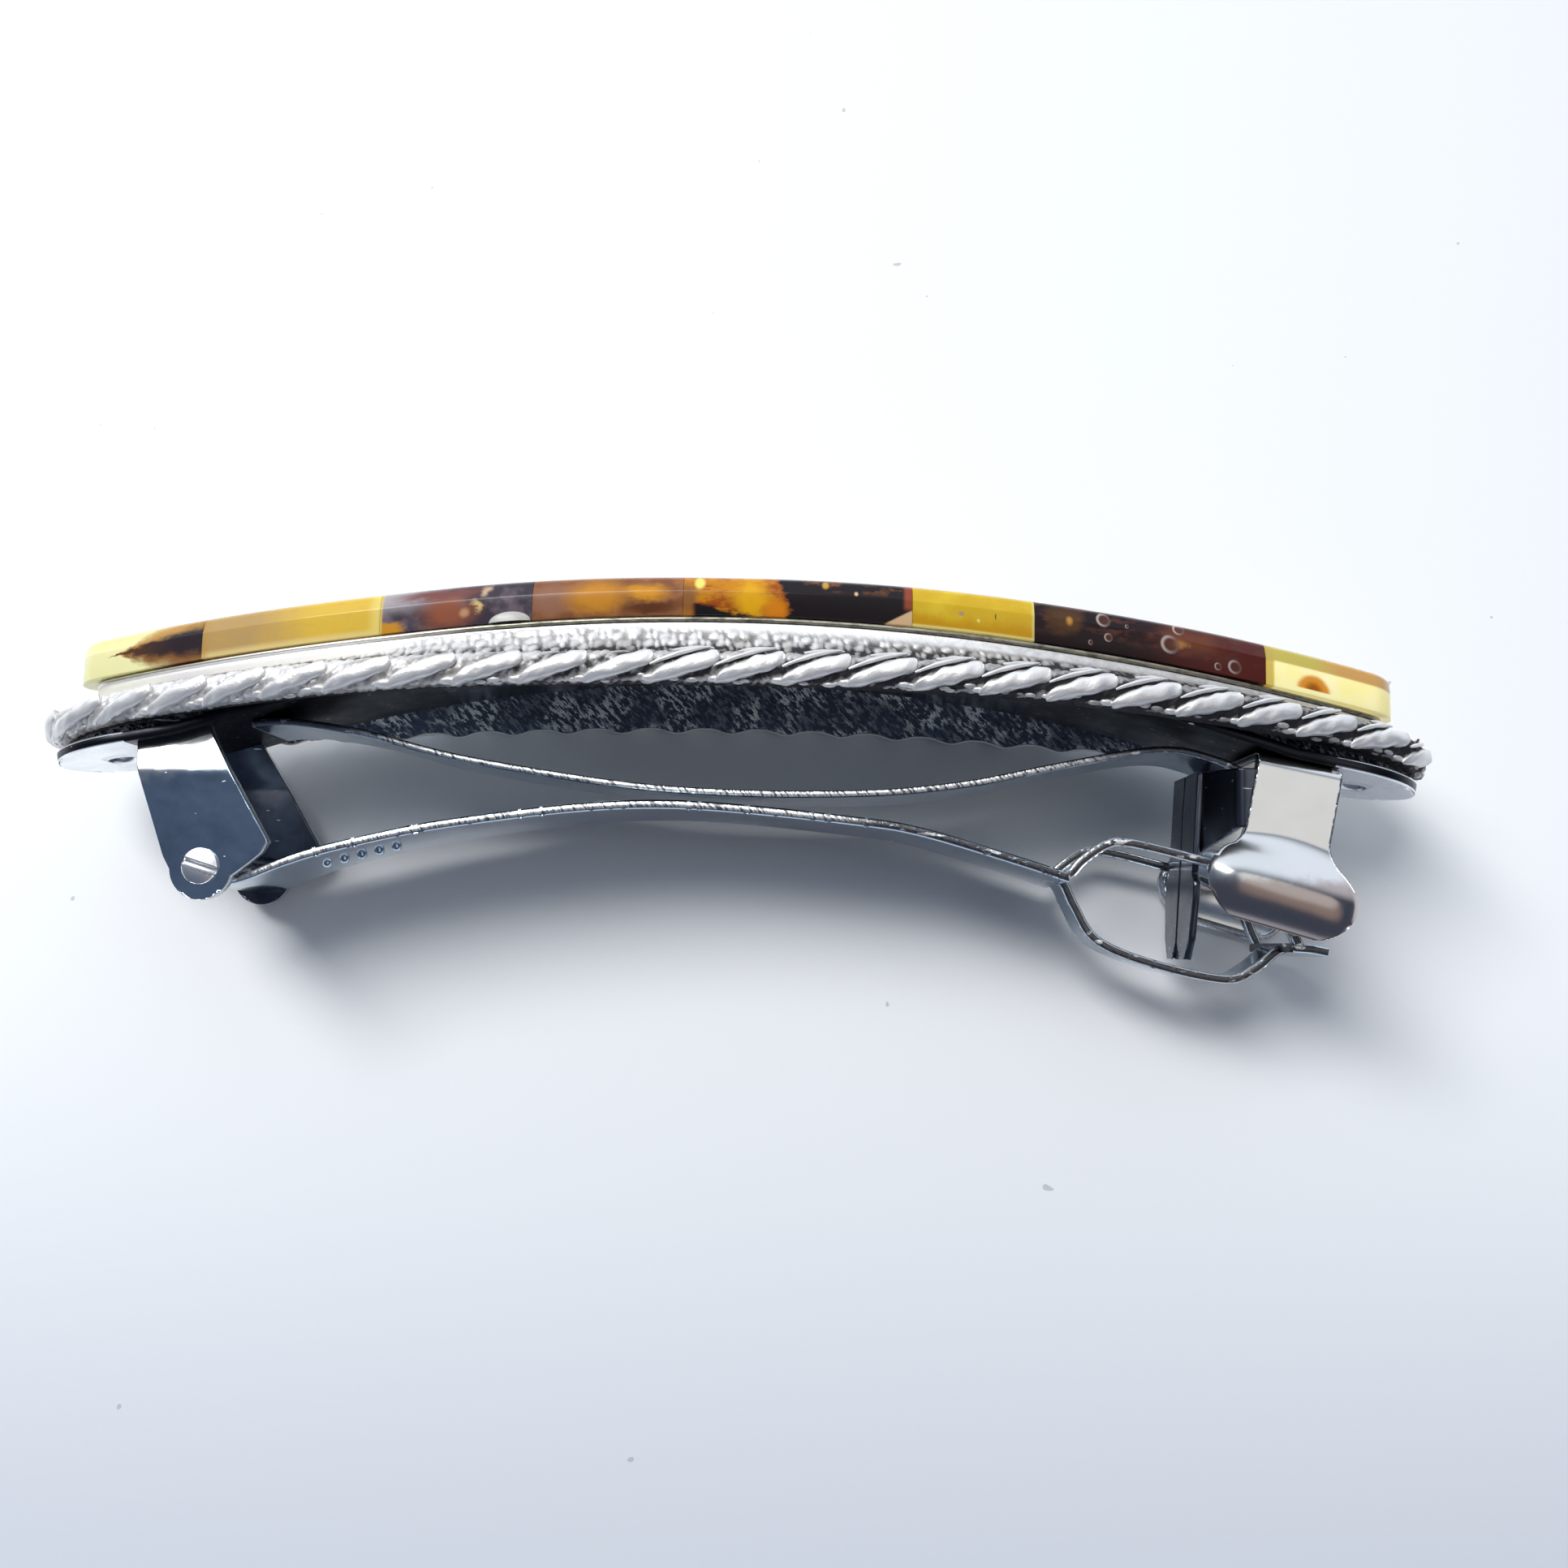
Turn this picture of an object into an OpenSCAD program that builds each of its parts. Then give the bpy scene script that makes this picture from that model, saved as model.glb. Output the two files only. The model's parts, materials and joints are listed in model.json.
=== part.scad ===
// French barrette: an arched cast plate with a rope border carries a bar of eight amber tiles;
// a sprung steel clip is fixed in the hollow back. It lies on its side, leaning on the rope and a pad.
// The clip frame, before leaning: X along the barrette, Y from the clip towards the amber, Z across.

/* [Cast plate] */
// Length of the plate over its rope border
plate_len = 80.2; // [79:0.1:80.6]
// Width of the plate over its rope border
plate_w = 19; // [18.9:0.1:20.5]
// Half length of the straight middle of the outline
straight_half = 13; // [12:0.5:14]
// Radius of the outline's long side arcs
side_r = 62; // [62:1:76]
// Height of the rim's lower edge at mid length
rim_y = 2.97; // [2.5:0.01:3.2]
// Lengthwise arch radius of the rim
rim_r = 262; // [240:1:300]
// Metal thickness of the table that carries the amber
table_t = 0.9; // [0.7:0.05:1.1]

/* [Rope border] */
// Radius of the rope
rope_r = 1.15; // [1:0.01:1.2]
// Number of strand turns seen round the whole border
rope_lobes = 48; // [40:2:56]

/* [Amber] */
// Length of the row of tiles
amber_len = 76; // [75:0.1:76.4]
// Inset of the amber's sides from the plate's outline
amber_inset = 2.75; // [2.7:0.05:3.1]
// Height of the amber's underside at mid length
amber_y = 7.32; // [7.2:0.01:7.5]
// Thickness of the amber at mid length
amber_t = 2.25; // [1.8:0.05:2.6]
// Extra thickness of the amber towards its ends
amber_swell = 0.15; // [0:0.05:0.5]
// Gap between neighbouring tiles
tile_gap = 0.06; // [0.04:0.01:0.12]

/* [Clip strip] */
// Length of the clip's top strip
strip_len = 78.4; // [78:0.1:80]
// Width of the strip over its ears
strip_w = 10; // [9.8:0.1:10.2]
// Metal thickness of the strip and its ears
strip_t = 0.6; // [0.5:0.05:0.6]
// Height of the strip's underside at mid length
strip_y = 5.55; // [5.4:0.01:5.6]
// Lengthwise arch radius of the strip
strip_r = 96; // [95:0.5:98]
// Diameter of the sewing holes at the strip's ends
hole_d = 1.6; // [1.2:0.1:2]

/* [Hinge] */
// Pin position along the barrette
pin_x = -28.9; // [-29.1:0.05:-28.7]
// Pin height, below the plate
pin_y = -6.9; // [-7:0.05:-6.8]
// Diameter of the pin's shank
pin_d = 1.2; // [1:0.05:1.3]
// Diameter of the pin's heads
pin_head_d = 2; // [1.8:0.05:2.4]

/* [Closing arm] */
// Width of the closing arm
arm_w = 8.2; // [8:0.05:8.3]
// Metal thickness of the arm
arm_t = 0.5; // [0.4:0.05:0.55]
// Width of the arm's two rails beside the catch
rail_w = 0.65; // [0.6:0.05:0.7]
// Width of the guard tongue under the catch
tongue_w = 3.2; // [2.6:0.1:4]

/* [Clasp] */
// Clasp position along the barrette
clasp_x = 31.4; // [31:0.1:31.6]
// Width of each wing
wing_w = 4.75; // [4.5:0.05:5]
// Length of each press pad
pad_len = 7.9; // [7.6:0.1:8.4]
// Height of each press pad
pad_h = 4; // [3.8:0.1:4.2]
// Metal thickness of the clasp
clasp_t = 0.5; // [0.4:0.05:0.5]

/* [Tension bar] */
// Width of the bowed tension bar
bar_w = 6; // [5:0.1:6.4]
// Metal thickness of the tension bar
bar_t = 0.4; // [0.3:0.05:0.4]

/* [Resting pose] */
// Lean of the clip frame about its length
lean = 14.4; // [14.2:0.1:14.6]

/* [Hidden] */
$fn = 48;

// half sizes of the outline and its tip radius, which closes the side arcs smoothly
half_len = plate_len / 2;
half_w = plate_w / 2;
tip_run = half_len - straight_half;
tip_r = (side_r * side_r - pow(side_r - half_w, 2) - tip_run * tip_run) / (2 * (side_r - tip_run));
tip_x = half_len - tip_r;
side_a = asin((tip_x - straight_half) / (side_r - tip_r));

// rope: the path's length at the rope's centre line, and the sections along it
rope_tip_len = (90 - side_a) * (tip_r - rope_r) * PI / 180;
rope_side_len = side_a * (side_r - rope_r) * PI / 180;
quarter_len = rope_tip_len + rope_side_len + straight_half;
steps_per_lobe = 4;
ring_n = rope_lobes * steps_per_lobe;

// arch height below mid length of a circle of radius r
function sag(r, x) = r - sqrt(r * r - x * x);
// x and z on the outline at inset d, for a path length s from the right tip over the quarter
function quarter_pt(s, d) =
    s < rope_tip_len
    ? let (a = s / (tip_r - rope_r) * 180 / PI)
        [tip_x + (tip_r - d) * cos(a), (tip_r - d) * sin(a)]
    : s < rope_tip_len + rope_side_len
    ? let (a = 90 - side_a + (s - rope_tip_len) / (side_r - rope_r) * 180 / PI)
        [straight_half + (side_r - d) * cos(a), half_w - side_r + (side_r - d) * sin(a)]
    : [straight_half - (s - rope_tip_len - rope_side_len), half_w - d];
// the same for the whole loop: right tip, near side, left tip, far side
function loop_pt(s, d) =
    s <= quarter_len ? quarter_pt(s, d)
    : s <= 2 * quarter_len ? let (q = quarter_pt(2 * quarter_len - s, d)) [-q[0], q[1]]
    : s <= 3 * quarter_len ? let (q = quarter_pt(s - 2 * quarter_len, d)) [-q[0], -q[1]]
    : let (q = quarter_pt(4 * quarter_len - s, d)) [q[0], -q[1]];

// heights: the rim, dropping a little more round the tips, the amber's underside in three arcs,
// the table below it, and the hollow back
mid_half = 14;
mid_r = 125;
end_r = 450;
function arch(x) = abs(x) < mid_half ? sag(mid_r, x)
    : sag(mid_r, mid_half) + mid_half / mid_r * (abs(x) - mid_half) + sag(end_r, abs(x) - mid_half);
tip_drop = 0.45;
function rim_h(x) = rim_y - sag(rim_r, x) - tip_drop * pow(max(0, (abs(x) - 33) / 6), 2);
function amber_low(x) = amber_y - arch(x);
function amber_top(x) = amber_low(x) + amber_t + amber_swell * sin(min(1, abs(x) / 30) * 90);
glue_gap = 0.1;
function table_h(x) = amber_low(x) - glue_gap;
function back_h(x) = table_h(x) - table_t;
// height of the table's bare side wall along the bar: [distance from mid length, height]
WALL = [[0, 0.15], [14, 0.2], [22, 0.85], [26, 0.75], [30, 0.55], [37, 0.4]];
function wall_h(x) = lookup(abs(x), WALL);

// rope surface: three strands; the radius factor at each step from the notch between two strands
strand_r = [0.68, 0.85, 1, 0.85];
rope_first = 135;
rope_step = 30;
rope_pts = 8;
// one section of the plate: points [inset, height] from the table's middle over the rope to the back
function section(i) =
    let (s = i * 4 * quarter_len / ring_n, x = loop_pt(s, rope_r)[0],
        rim = rim_h(x), table = table_h(loop_pt(s, amber_inset)[0]),
        back = back_h(loop_pt(s, amber_inset)[0]), wall = wall_h(x))
    concat([[3.9, table], [amber_inset, table], [amber_inset - 0.05, table - wall],
            [2.05, rim + 1.75 * rope_r]],
        [for (k = [0:rope_pts - 1]) let (a = rope_first - rope_step * k,
            r = rope_r * strand_r[(k + ring_n - i) % steps_per_lobe])
            [rope_r - r * cos(a), rim + rope_r + r * sin(a)]],
        [[1.9, rim + 0.1], [2.3, rim + 0.9], [3.2, back - 0.4], [3.9, back]]);
function section_pts(i) = [for (q = section(i))
    let (p = loop_pt(i * 4 * quarter_len / ring_n, q[0])) [p[0], q[1], p[1]]];

module base_plate() {
    m = rope_pts + 8;
    pts = [for (i = [0:ring_n - 1]) each section_pts(i)];
    half = ring_n / 2;
    skin = [for (i = [0:ring_n - 1], j = [0:m - 2])
        let (a = i * m + j, b = (i + 1) % ring_n * m + j) [a, b, b + 1, a + 1]];
    // the table and the back are bridged straight across between the near and far sections
    lids = [for (i = [0:half - 1]) let (o = (ring_n - i) % ring_n, p = ring_n - i - 1)
        [[i * m, o * m, p * m, (i + 1) * m],
        [(i + 1) * m + m - 1, p * m + m - 1, o * m + m - 1, i * m + m - 1]]];
    flat_lids = [for (l = lids, q = l) q];
    tri = [for (f = concat(skin, flat_lids))
        each [[f[0], f[2], f[1]], [f[0], f[3], f[2]]]];
    real = [for (t = tri) if (t[0] != t[1] && t[1] != t[2] && t[0] != t[2]) t];
    color("silver") polyhedron(pts, real, convexity = 8);
}

// amber: tile boundaries along the bar, and one tile as a loft of rounded sections
AMBER_ENDS = [-amber_len / 2, -29.8, -19.3, -10.9, -2.65, 9.85, 16.5, 29.6, amber_len / 2];
amber_side_r = 66;
amber_corner_r = 1.6;
// half width of the row of tiles at x: straight, then curving in, with rounded corners at the ends
function amber_half(x) = half_w - amber_inset - sag(amber_side_r, max(0, abs(x) - straight_half))
    - sag(amber_corner_r, max(0, abs(x) - amber_len / 2 + amber_corner_r));
function amber_section(x) =
    let (w = amber_half(x), low = amber_low(x), top = amber_top(x), h = top - low,
        round_w = min(0.85, 0.6 * w))
    [[w, low], [w, low + 0.62 * h], [w - 0.3 * round_w, low + 0.88 * h], [w - round_w, top],
    [round_w - w, top], [0.3 * round_w - w, low + 0.88 * h], [-w, low + 0.62 * h], [-w, low]];
module amber_tile(k) {
    x0 = AMBER_ENDS[k] + tile_gap / 2;
    x1 = AMBER_ENDS[k + 1] - tile_gap / 2;
    cuts = ceil((x1 - x0) / 1.4);
    // sections crowd towards the tips, where the outline turns
    lean_in = k == 0 ? 2 : k == 7 ? 0.5 : 1;
    xs = [for (i = [0:cuts]) x0 + (x1 - x0) * pow(i / cuts, lean_in)];
    pts = [for (x = xs) each [for (q = amber_section(x)) [x, q[1], q[0]]]];
    polyhedron(pts, loft_faces(cuts + 1, 8), convexity = 2);
}
// faces of a closed loft of n sections with m points each
function loft_faces(n, m) = concat(
    [for (i = [0:n - 2], j = [0:m - 1]) let (a = i * m + j, b = i * m + (j + 1) % m)
        each [[a, b, b + m], [a, b + m, a + m]]],
    [for (j = [1:m - 2]) [0, j + 1, j]],
    [for (j = [1:m - 2]) [(n - 1) * m, (n - 1) * m + j, (n - 1) * m + j + 1]]);
module amber_1() { color("gold") amber_tile(0); }
module amber_2() { color("goldenrod") amber_tile(1); }
module amber_3() { color([0.36, 0.25, 0.3]) amber_tile(2); }
module amber_4() { color([0.6, 0.27, 0.12]) amber_tile(3); }
module amber_5() { color([0.9, 0.5, 0.1]) amber_tile(4); }
module amber_6() { color([0.9, 0.78, 0.2]) amber_tile(5); }
module amber_7() { color([0.3, 0.1, 0.08]) amber_tile(6); }
module amber_8() { color("khaki") amber_tile(7); }

// a smooth curve through control points, and the outline of a metal band of thickness t along it
function curve_pt(p, i, u) =
    let (n = len(p) - 1, a = p[max(0, i - 1)], b = p[i], c = p[i + 1], d = p[min(n, i + 2)])
    0.5 * (2 * b + (c - a) * u + (2 * a - 5 * b + 4 * c - d) * u * u
        + (3 * b - a - 3 * c + d) * u * u * u);
function curve(p, steps) = concat(
    [for (i = [0:len(p) - 2], k = [0:steps - 1]) curve_pt(p, i, k / steps)], [p[len(p) - 1]]);
function unit(v) = v / norm(v);
function normals(c) = [for (i = [0:len(c) - 1])
    let (d = unit(c[min(len(c) - 1, i + 1)] - c[max(0, i - 1)])) [-d[1], d[0]]];
function band(c, t) = let (nn = normals(c), n = len(c) - 1)
    concat([for (i = [0:n]) c[i] + nn[i] * t / 2], [for (i = [n:-1:0]) c[i] - nn[i] * t / 2]);
// a bent sheet: the band extruded across the clip from z0 to z1
module sheet(c, t, z0, z1) {
    translate([0, 0, z0]) linear_extrude(z1 - z0) polygon(band(c, t));
}
// something made for the near side, and its mirror image on the far side
module both_sides() {
    children();
    mirror([0, 0, 1]) children();
}

// strip: an arc up to tab_x, then straight tabs falling at tab_a
tab_x = 31;
tab_a = 11;
function strip_low(x) = abs(x) < tab_x ? strip_y - sag(strip_r, x)
    : strip_y - sag(strip_r, tab_x) - (abs(x) - tab_x) * tan(tab_a);
strip_step = 2;
module strip_band() {
    xs = [for (x = [-strip_len / 2:strip_step:strip_len / 2]) x];
    c = [for (x = xs) [x, strip_low(x) + strip_t / 2]];
    intersection() {
        sheet(c, strip_t, -strip_w / 2, strip_w / 2);
        // plan with rounded ends, cut upwards through the band
        rotate([90, 0, 0]) linear_extrude(20, center = true) union() {
            square([strip_len - strip_w, strip_w], center = true);
            for (e = [-1, 1]) translate([e * (strip_len - strip_w) / 2, 0]) circle(d = strip_w);
        }
    }
}
// ear outline, from the strip down to the hinge lobe: [x, y]
EAR = [[-33.35, 0.75], [-28.3, 1.75], [-24.95, -5.8], [-25.4, -6.5], [-27.9, -8.2], [-30.5, -7.6],
    [-31.05, -6.4], [-32.85, -1.5]];
lobe_r = 1.75;
lobe_drop = 0.1;
bore_clear = 0.05;
hole_x = 36;
module clip_strip() {
    color("slategray") difference() {
        union() {
            strip_band();
            both_sides() translate([0, 0, strip_w / 2 - strip_t]) linear_extrude(strip_t) union() {
                polygon(EAR);
                translate([pin_x, pin_y - lobe_drop]) circle(lobe_r);
            }
        }
        translate([pin_x, pin_y, 0]) cylinder(d = pin_d + 2 * bore_clear, h = 2 * strip_w, center = true);
        // sewing holes, square to the tabs
        for (e = [-1, 1]) translate([e * hole_x, strip_low(hole_x), 0]) rotate([90, 0, -e * tab_a])
            cylinder(d = hole_d, h = 10 * strip_t, center = true);
    }
}

module hinge_pin() {
    head_t = 0.35;
    slot_w = 0.35;
    slot_depth = 0.2;
    seat = strip_w / 2 + 0.03;
    slot_a = -6;
    color("lightgray") translate([pin_x, pin_y, 0]) difference() {
        union() {
            cylinder(d = pin_d, h = 2 * seat + head_t, center = true);
            both_sides() translate([0, 0, seat]) cylinder(d = pin_head_d, h = head_t);
        }
        translate([0, 0, seat + head_t]) rotate([0, 0, slot_a])
            cube([2 * pin_head_d, slot_w, 2 * slot_depth], center = true);
    }
}

// closing arm: control points [x, y] of the body, the rails, the guard tongue and the end tab
ARM_BODY = [[-28.4, -8.0], [-27.2, -7.5], [-24.8, -6.55], [-22.4, -5.75], [-17.9, -4.62],
    [-14.3, -3.95], [-8.9, -3.18], [-4.4, -2.85], [0, -2.95], [7.3, -3.55], [10.9, -4.1],
    [16.3, -5.6], [18.9, -6.42]];
ARM_RAIL = [[18.2, -6.2], [18.9, -6.2], [19.6, -5.45], [20.9, -4.55], [22.1, -4.4], [25.2, -5.05],
    [28, -5.85], [30.2, -7.2], [31.1, -9.1], [31.5, -10.0]];
ARM_TONGUE = [[18.2, -6.2], [18.95, -6.6], [19.6, -7.9], [20.9, -9.8], [24.1, -11.05],
    [28.1, -11.8], [29.7, -11.2], [31, -10.15], [31.7, -9.95]];
ARM_TAB = [[31.1, -9.95], [32.1, -10.0], [33, -10.15]];
knuckle_r = 1.1;
dot_r = 0.3;
// plain raised dots near the hinge: count and spacing
dot_n = 5;
dot_pitch = 1;
module closing_arm() {
    curve_steps = 4;
    color("lightslategray") difference() {
        union() {
            sheet(curve(ARM_BODY, curve_steps), arm_t, -arm_w / 2, arm_w / 2);
            both_sides() sheet(curve(ARM_RAIL, curve_steps), arm_t, arm_w / 2 - rail_w, arm_w / 2);
            sheet(curve(ARM_TONGUE, curve_steps), arm_t, -tongue_w / 2, tongue_w / 2);
            sheet(curve(ARM_TAB, curve_steps), arm_t, -arm_w / 2, arm_w / 2);
            translate([pin_x, pin_y, 0]) cylinder(r = knuckle_r, h = arm_w, center = true);
            for (k = [0:dot_n - 1]) let (x = -23.5 + k * dot_pitch)
                translate([x, -6.2 + 0.26 * (x + 23.5) - 0.12, 0])
                sphere(dot_r, $fn = 24);
        }
        translate([pin_x, pin_y, 0]) cylinder(d = pin_d + 2 * bore_clear, h = 2 * arm_w, center = true);
    }
}

// clasp: wings and pads in a frame tilted with the strip's end, catch leaves upright
clasp_y = strip_low(clasp_x) - 0.05;
pad_y = -7.6;
pad_bulge_r = 2.55;
pad_out = 1.45;
leaf_x = 26.3;
leaf_t = 0.4;
leaf_a = 3.5;
// one catch leaf seen along the barrette: [z, y]
LEAF = [[0.15, -0.2], [0.15, -9.8], [0.7, -10.75], [2, -10.75], [2.8, -9.6], [3.25, -7.4],
    [3.25, -6.4], [2.7, -6], [2.7, -0.2]];
// the slanted flap from the wing to the leaf, seen from above [x, z], and its outline [z, y]
FLAP_PLAN = [[29.6, 4.9], [29.6, 4.6], [28.3, 4.6], [26.45, 1.9], [26.15, 2.3], [28.05, 4.9]];
FLAP_SIDE = [[5.2, -0.2], [5.2, -3.2], [1.8, -5.1], [1.8, -0.2]];
module wing() {
    outer = strip_w / 2;
    translate([0, 0, outer - clasp_t]) linear_extrude(clasp_t) union() {
        translate([-wing_w / 2, pad_y]) square([wing_w, -pad_y]);
        // the neck widens into the pad
        polygon([[-wing_w / 2, pad_y + 3.2], [1.6 - pad_len / 2, pad_y + 1.9], [1.6 - pad_len / 2, pad_y + 1],
            [pad_len / 2 - 1.6, pad_y + 1], [pad_len / 2 - 1.6, pad_y + 1.9], [wing_w / 2, pad_y + 3.2]]);
    }
    // the pad is a curved shell with a pill outline
    intersection() {
        translate([0, pad_y, outer - pad_bulge_r + pad_out]) rotate([0, 90, 0]) difference() {
            cylinder(r = pad_bulge_r, h = 2 * pad_len, center = true);
            cylinder(r = pad_bulge_r - clasp_t, h = 3 * pad_len, center = true);
        }
        translate([0, 0, outer - clasp_t]) linear_extrude(2 * pad_out + clasp_t) union() {
            translate([-(pad_len - pad_h) / 2, pad_y - pad_h / 2]) square([pad_len - pad_h, pad_h]);
            for (e = [-1, 1]) translate([e * (pad_len - pad_h) / 2, pad_y]) circle(d = pad_h);
        }
    }
}
module catch_leaf() {
    translate([leaf_x, 0, 0]) rotate([0, 0, -leaf_a]) rotate([0, -90, 0]) mirror([0, 0, 1])
        linear_extrude(leaf_t) polygon(LEAF);
    intersection() {
        rotate([90, 0, 0]) linear_extrude(14, center = true) polygon(FLAP_PLAN);
        translate([25, 0, 0]) rotate([0, -90, 0]) mirror([0, 0, 1]) linear_extrude(5) polygon(FLAP_SIDE);
    }
}
module clasp() {
    color("gainsboro") {
        translate([clasp_x, clasp_y, 0]) rotate([0, 0, -tab_a]) {
            translate([-wing_w / 2, -clasp_t, -strip_w / 2]) cube([wing_w, clasp_t, strip_w]);
            both_sides() wing();
        }
        both_sides() catch_leaf();
    }
}

// tension bar: control points [x, y]
BAR = [[-27.3, 1.35], [-25, 1.5], [-21, 0.95], [-15.7, -0.3], [-9.2, -1.3], [-4.6, -1.8], [0, -2.0],
    [4.6, -1.98], [9.2, -1.75], [13.7, -1.15], [18.2, -0.15], [22.8, 0.8],
    [25.2, 0.95], [27.3, 0.45], [28.6, -0.1], [29.2, -0.5]];
module tension_bar() {
    color("slategray") sheet(curve(BAR, 3), bar_t, -bar_w / 2, bar_w / 2);
}

// leans the clip frame over on the far side of the rope and the far pad, and sets it down: the rope's
// lowest point is on the ground, and the middle of the whole box, across, is over the origin
rest_z = -min([for (i = [0:ring_n - 1], q = section_pts(i)) q[1] * sin(lean) + q[2] * cos(lean)]);
rest_y = 0.66;
module rest() {
    translate([0, rest_y, rest_z]) rotate([lean, 0, 0]) children();
}
rest() base_plate();
rest() amber_1();
rest() amber_2();
rest() amber_3();
rest() amber_4();
rest() amber_5();
rest() amber_6();
rest() amber_7();
rest() amber_8();
rest() clip_strip();
rest() clasp();
rest() tension_bar();
rest() closing_arm();
rest() hinge_pin();
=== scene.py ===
import json
import math
import bpy
import numpy as np
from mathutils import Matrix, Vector


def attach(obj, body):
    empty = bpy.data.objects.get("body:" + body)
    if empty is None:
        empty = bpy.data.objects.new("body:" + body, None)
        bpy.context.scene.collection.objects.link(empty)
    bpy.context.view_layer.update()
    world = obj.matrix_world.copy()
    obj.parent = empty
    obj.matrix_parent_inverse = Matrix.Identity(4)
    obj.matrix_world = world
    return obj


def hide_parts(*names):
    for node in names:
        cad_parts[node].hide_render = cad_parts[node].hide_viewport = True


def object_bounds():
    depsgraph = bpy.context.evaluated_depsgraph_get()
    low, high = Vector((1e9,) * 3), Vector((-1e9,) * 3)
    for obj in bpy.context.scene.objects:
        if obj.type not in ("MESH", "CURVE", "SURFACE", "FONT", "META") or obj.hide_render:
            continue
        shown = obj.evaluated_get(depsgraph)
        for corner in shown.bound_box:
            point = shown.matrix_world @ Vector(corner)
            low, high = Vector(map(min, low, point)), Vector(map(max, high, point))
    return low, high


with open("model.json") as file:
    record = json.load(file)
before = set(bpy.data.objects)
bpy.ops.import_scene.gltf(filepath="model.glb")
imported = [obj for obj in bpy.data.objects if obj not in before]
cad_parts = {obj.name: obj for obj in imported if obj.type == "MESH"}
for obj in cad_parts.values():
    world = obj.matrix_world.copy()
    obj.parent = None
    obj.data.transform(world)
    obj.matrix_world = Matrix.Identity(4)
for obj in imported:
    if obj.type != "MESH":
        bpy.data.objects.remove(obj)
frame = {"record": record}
cad_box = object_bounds()

# The barrette as a whole: it lies on its side, leaning on the rope border and on one press pad.
# Every piece is drawn upright in the clip's own frame, in mm, with X along the barrette, Y towards the
# amber and Z across, and is then leaned over and set down where the hinge pin of the CAD model lies.
hinge = frame["record"]["behaviour"]["joints"][0]
lean = math.atan2(hinge["axis"][1], -hinge["axis"][2])
PIN_X = -28.9
PIN_Y = -6.9
MM = 0.001


def xyz(x, y, z):
    """Points with those x, y and z, each of them a number or an array."""
    return np.stack(np.broadcast_arrays(x, y, z), -1)


def in_place(points):
    """Points of the clip's own frame, in mm, leaned over and set down in the CAD frame, in metres."""
    x, y, z = (np.asarray(points, float).reshape(-1, 3) - (PIN_X, PIN_Y, 0)).T
    c, s = math.cos(lean), math.sin(lean)
    return xyz(x, y * c - z * s, y * s + z * c) * MM + np.array(hinge["pos_m"])


# The camera: a phone held about 90 mm above the paper, its lens square to the barrette's side but a little
# below its middle, so that the hollow back and the underside of the rope show.
eye = bpy.data.cameras.new("phone")
eye.sensor_width = 36
eye.lens = 34.365
eye.clip_start = 0.005
camera = bpy.data.objects.new("phone", eye)
camera.location = (4.4644 * MM, -31.0834 * MM, 89.7253 * MM)
camera.rotation_euler = [math.radians(a) for a in (20.582, 0.4735, 1.5249)]
bpy.context.scene.collection.objects.link(camera)
bpy.context.scene.camera = camera
bpy.context.scene.view_settings.view_transform = "Standard"


# The sheet of white paper that the barrette lies on: matt, faintly fibrous, with a few specks of dust.
# The window light beyond the barrette washes it out at the back; its blue-grey towards the front is painted
# shade.
def add(tree, kind, wires=None, **settings):
    """A node of that kind, its inputs wired to sockets or set to values."""
    made = tree.nodes.new(kind)
    for key, value in settings.items():
        setattr(made, key, value)
    for key, value in (wires or {}).items():
        if isinstance(value, bpy.types.NodeSocket):
            tree.links.new(value, made.inputs[key])
        else:
            made.inputs[key].default_value = value
    return made


def calc(operation, *values):
    """The result of a sum or other operation on sockets or numbers."""
    tree = next(value.id_data for value in values if isinstance(value, bpy.types.NodeSocket))
    return add(tree, "ShaderNodeMath", dict(enumerate(values)), operation=operation).outputs[0]


def times(first, second):
    """The product of two sockets or numbers."""
    return calc("MULTIPLY", first, second)


def split_up(vector):
    """The x, y and z of a vector."""
    return add(vector.id_data, "ShaderNodeSeparateXYZ", {0: vector}).outputs


def step_up(value, low, high, start=0.0, end=1.0):
    """A soft step from start to end while the value goes from low to high."""
    wires = {"Value": value, "From Min": low, "From Max": high, "To Min": start, "To Max": end}
    return add(value.id_data, "ShaderNodeMapRange", wires, interpolation_type="SMOOTHSTEP").outputs[0]


def mixed(share, first, second):
    """The first colour, and the second one where the share is 1."""
    first, second = (c if isinstance(c, bpy.types.NodeSocket) else (*c, 1) for c in (first, second))
    return add(share.id_data, "ShaderNodeMix", {0: share, 6: first, 7: second}, data_type="RGBA").outputs[2]


def new_finish(name, roughness, **values):
    """A material, and the place on the piece in the clip's own frame, in mm."""
    made = bpy.data.materials.new(name)
    made.use_nodes = True
    tree = made.node_tree
    for key, value in {"Roughness": roughness, **values}.items():
        tree.nodes["Principled BSDF"].inputs[key.replace("_", " ")].default_value = value
    wires = {"Vector": add(tree, "ShaderNodeTexCoord").outputs["Object"],
             "Location": tuple(in_place((0, 0, 0))[0]), "Rotation": (lean, 0, 0), "Scale": (MM, MM, MM)}
    return made, add(tree, "ShaderNodeMapping", wires, vector_type="TEXTURE").outputs[0]


def wire(made, **sockets):
    """Wires sockets to the inputs of the material's shader."""
    for key, value in sockets.items():
        shader = made.node_tree.nodes["Principled BSDF"]
        made.node_tree.links.new(value, shader.inputs[key.replace("_", " ")])


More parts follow.
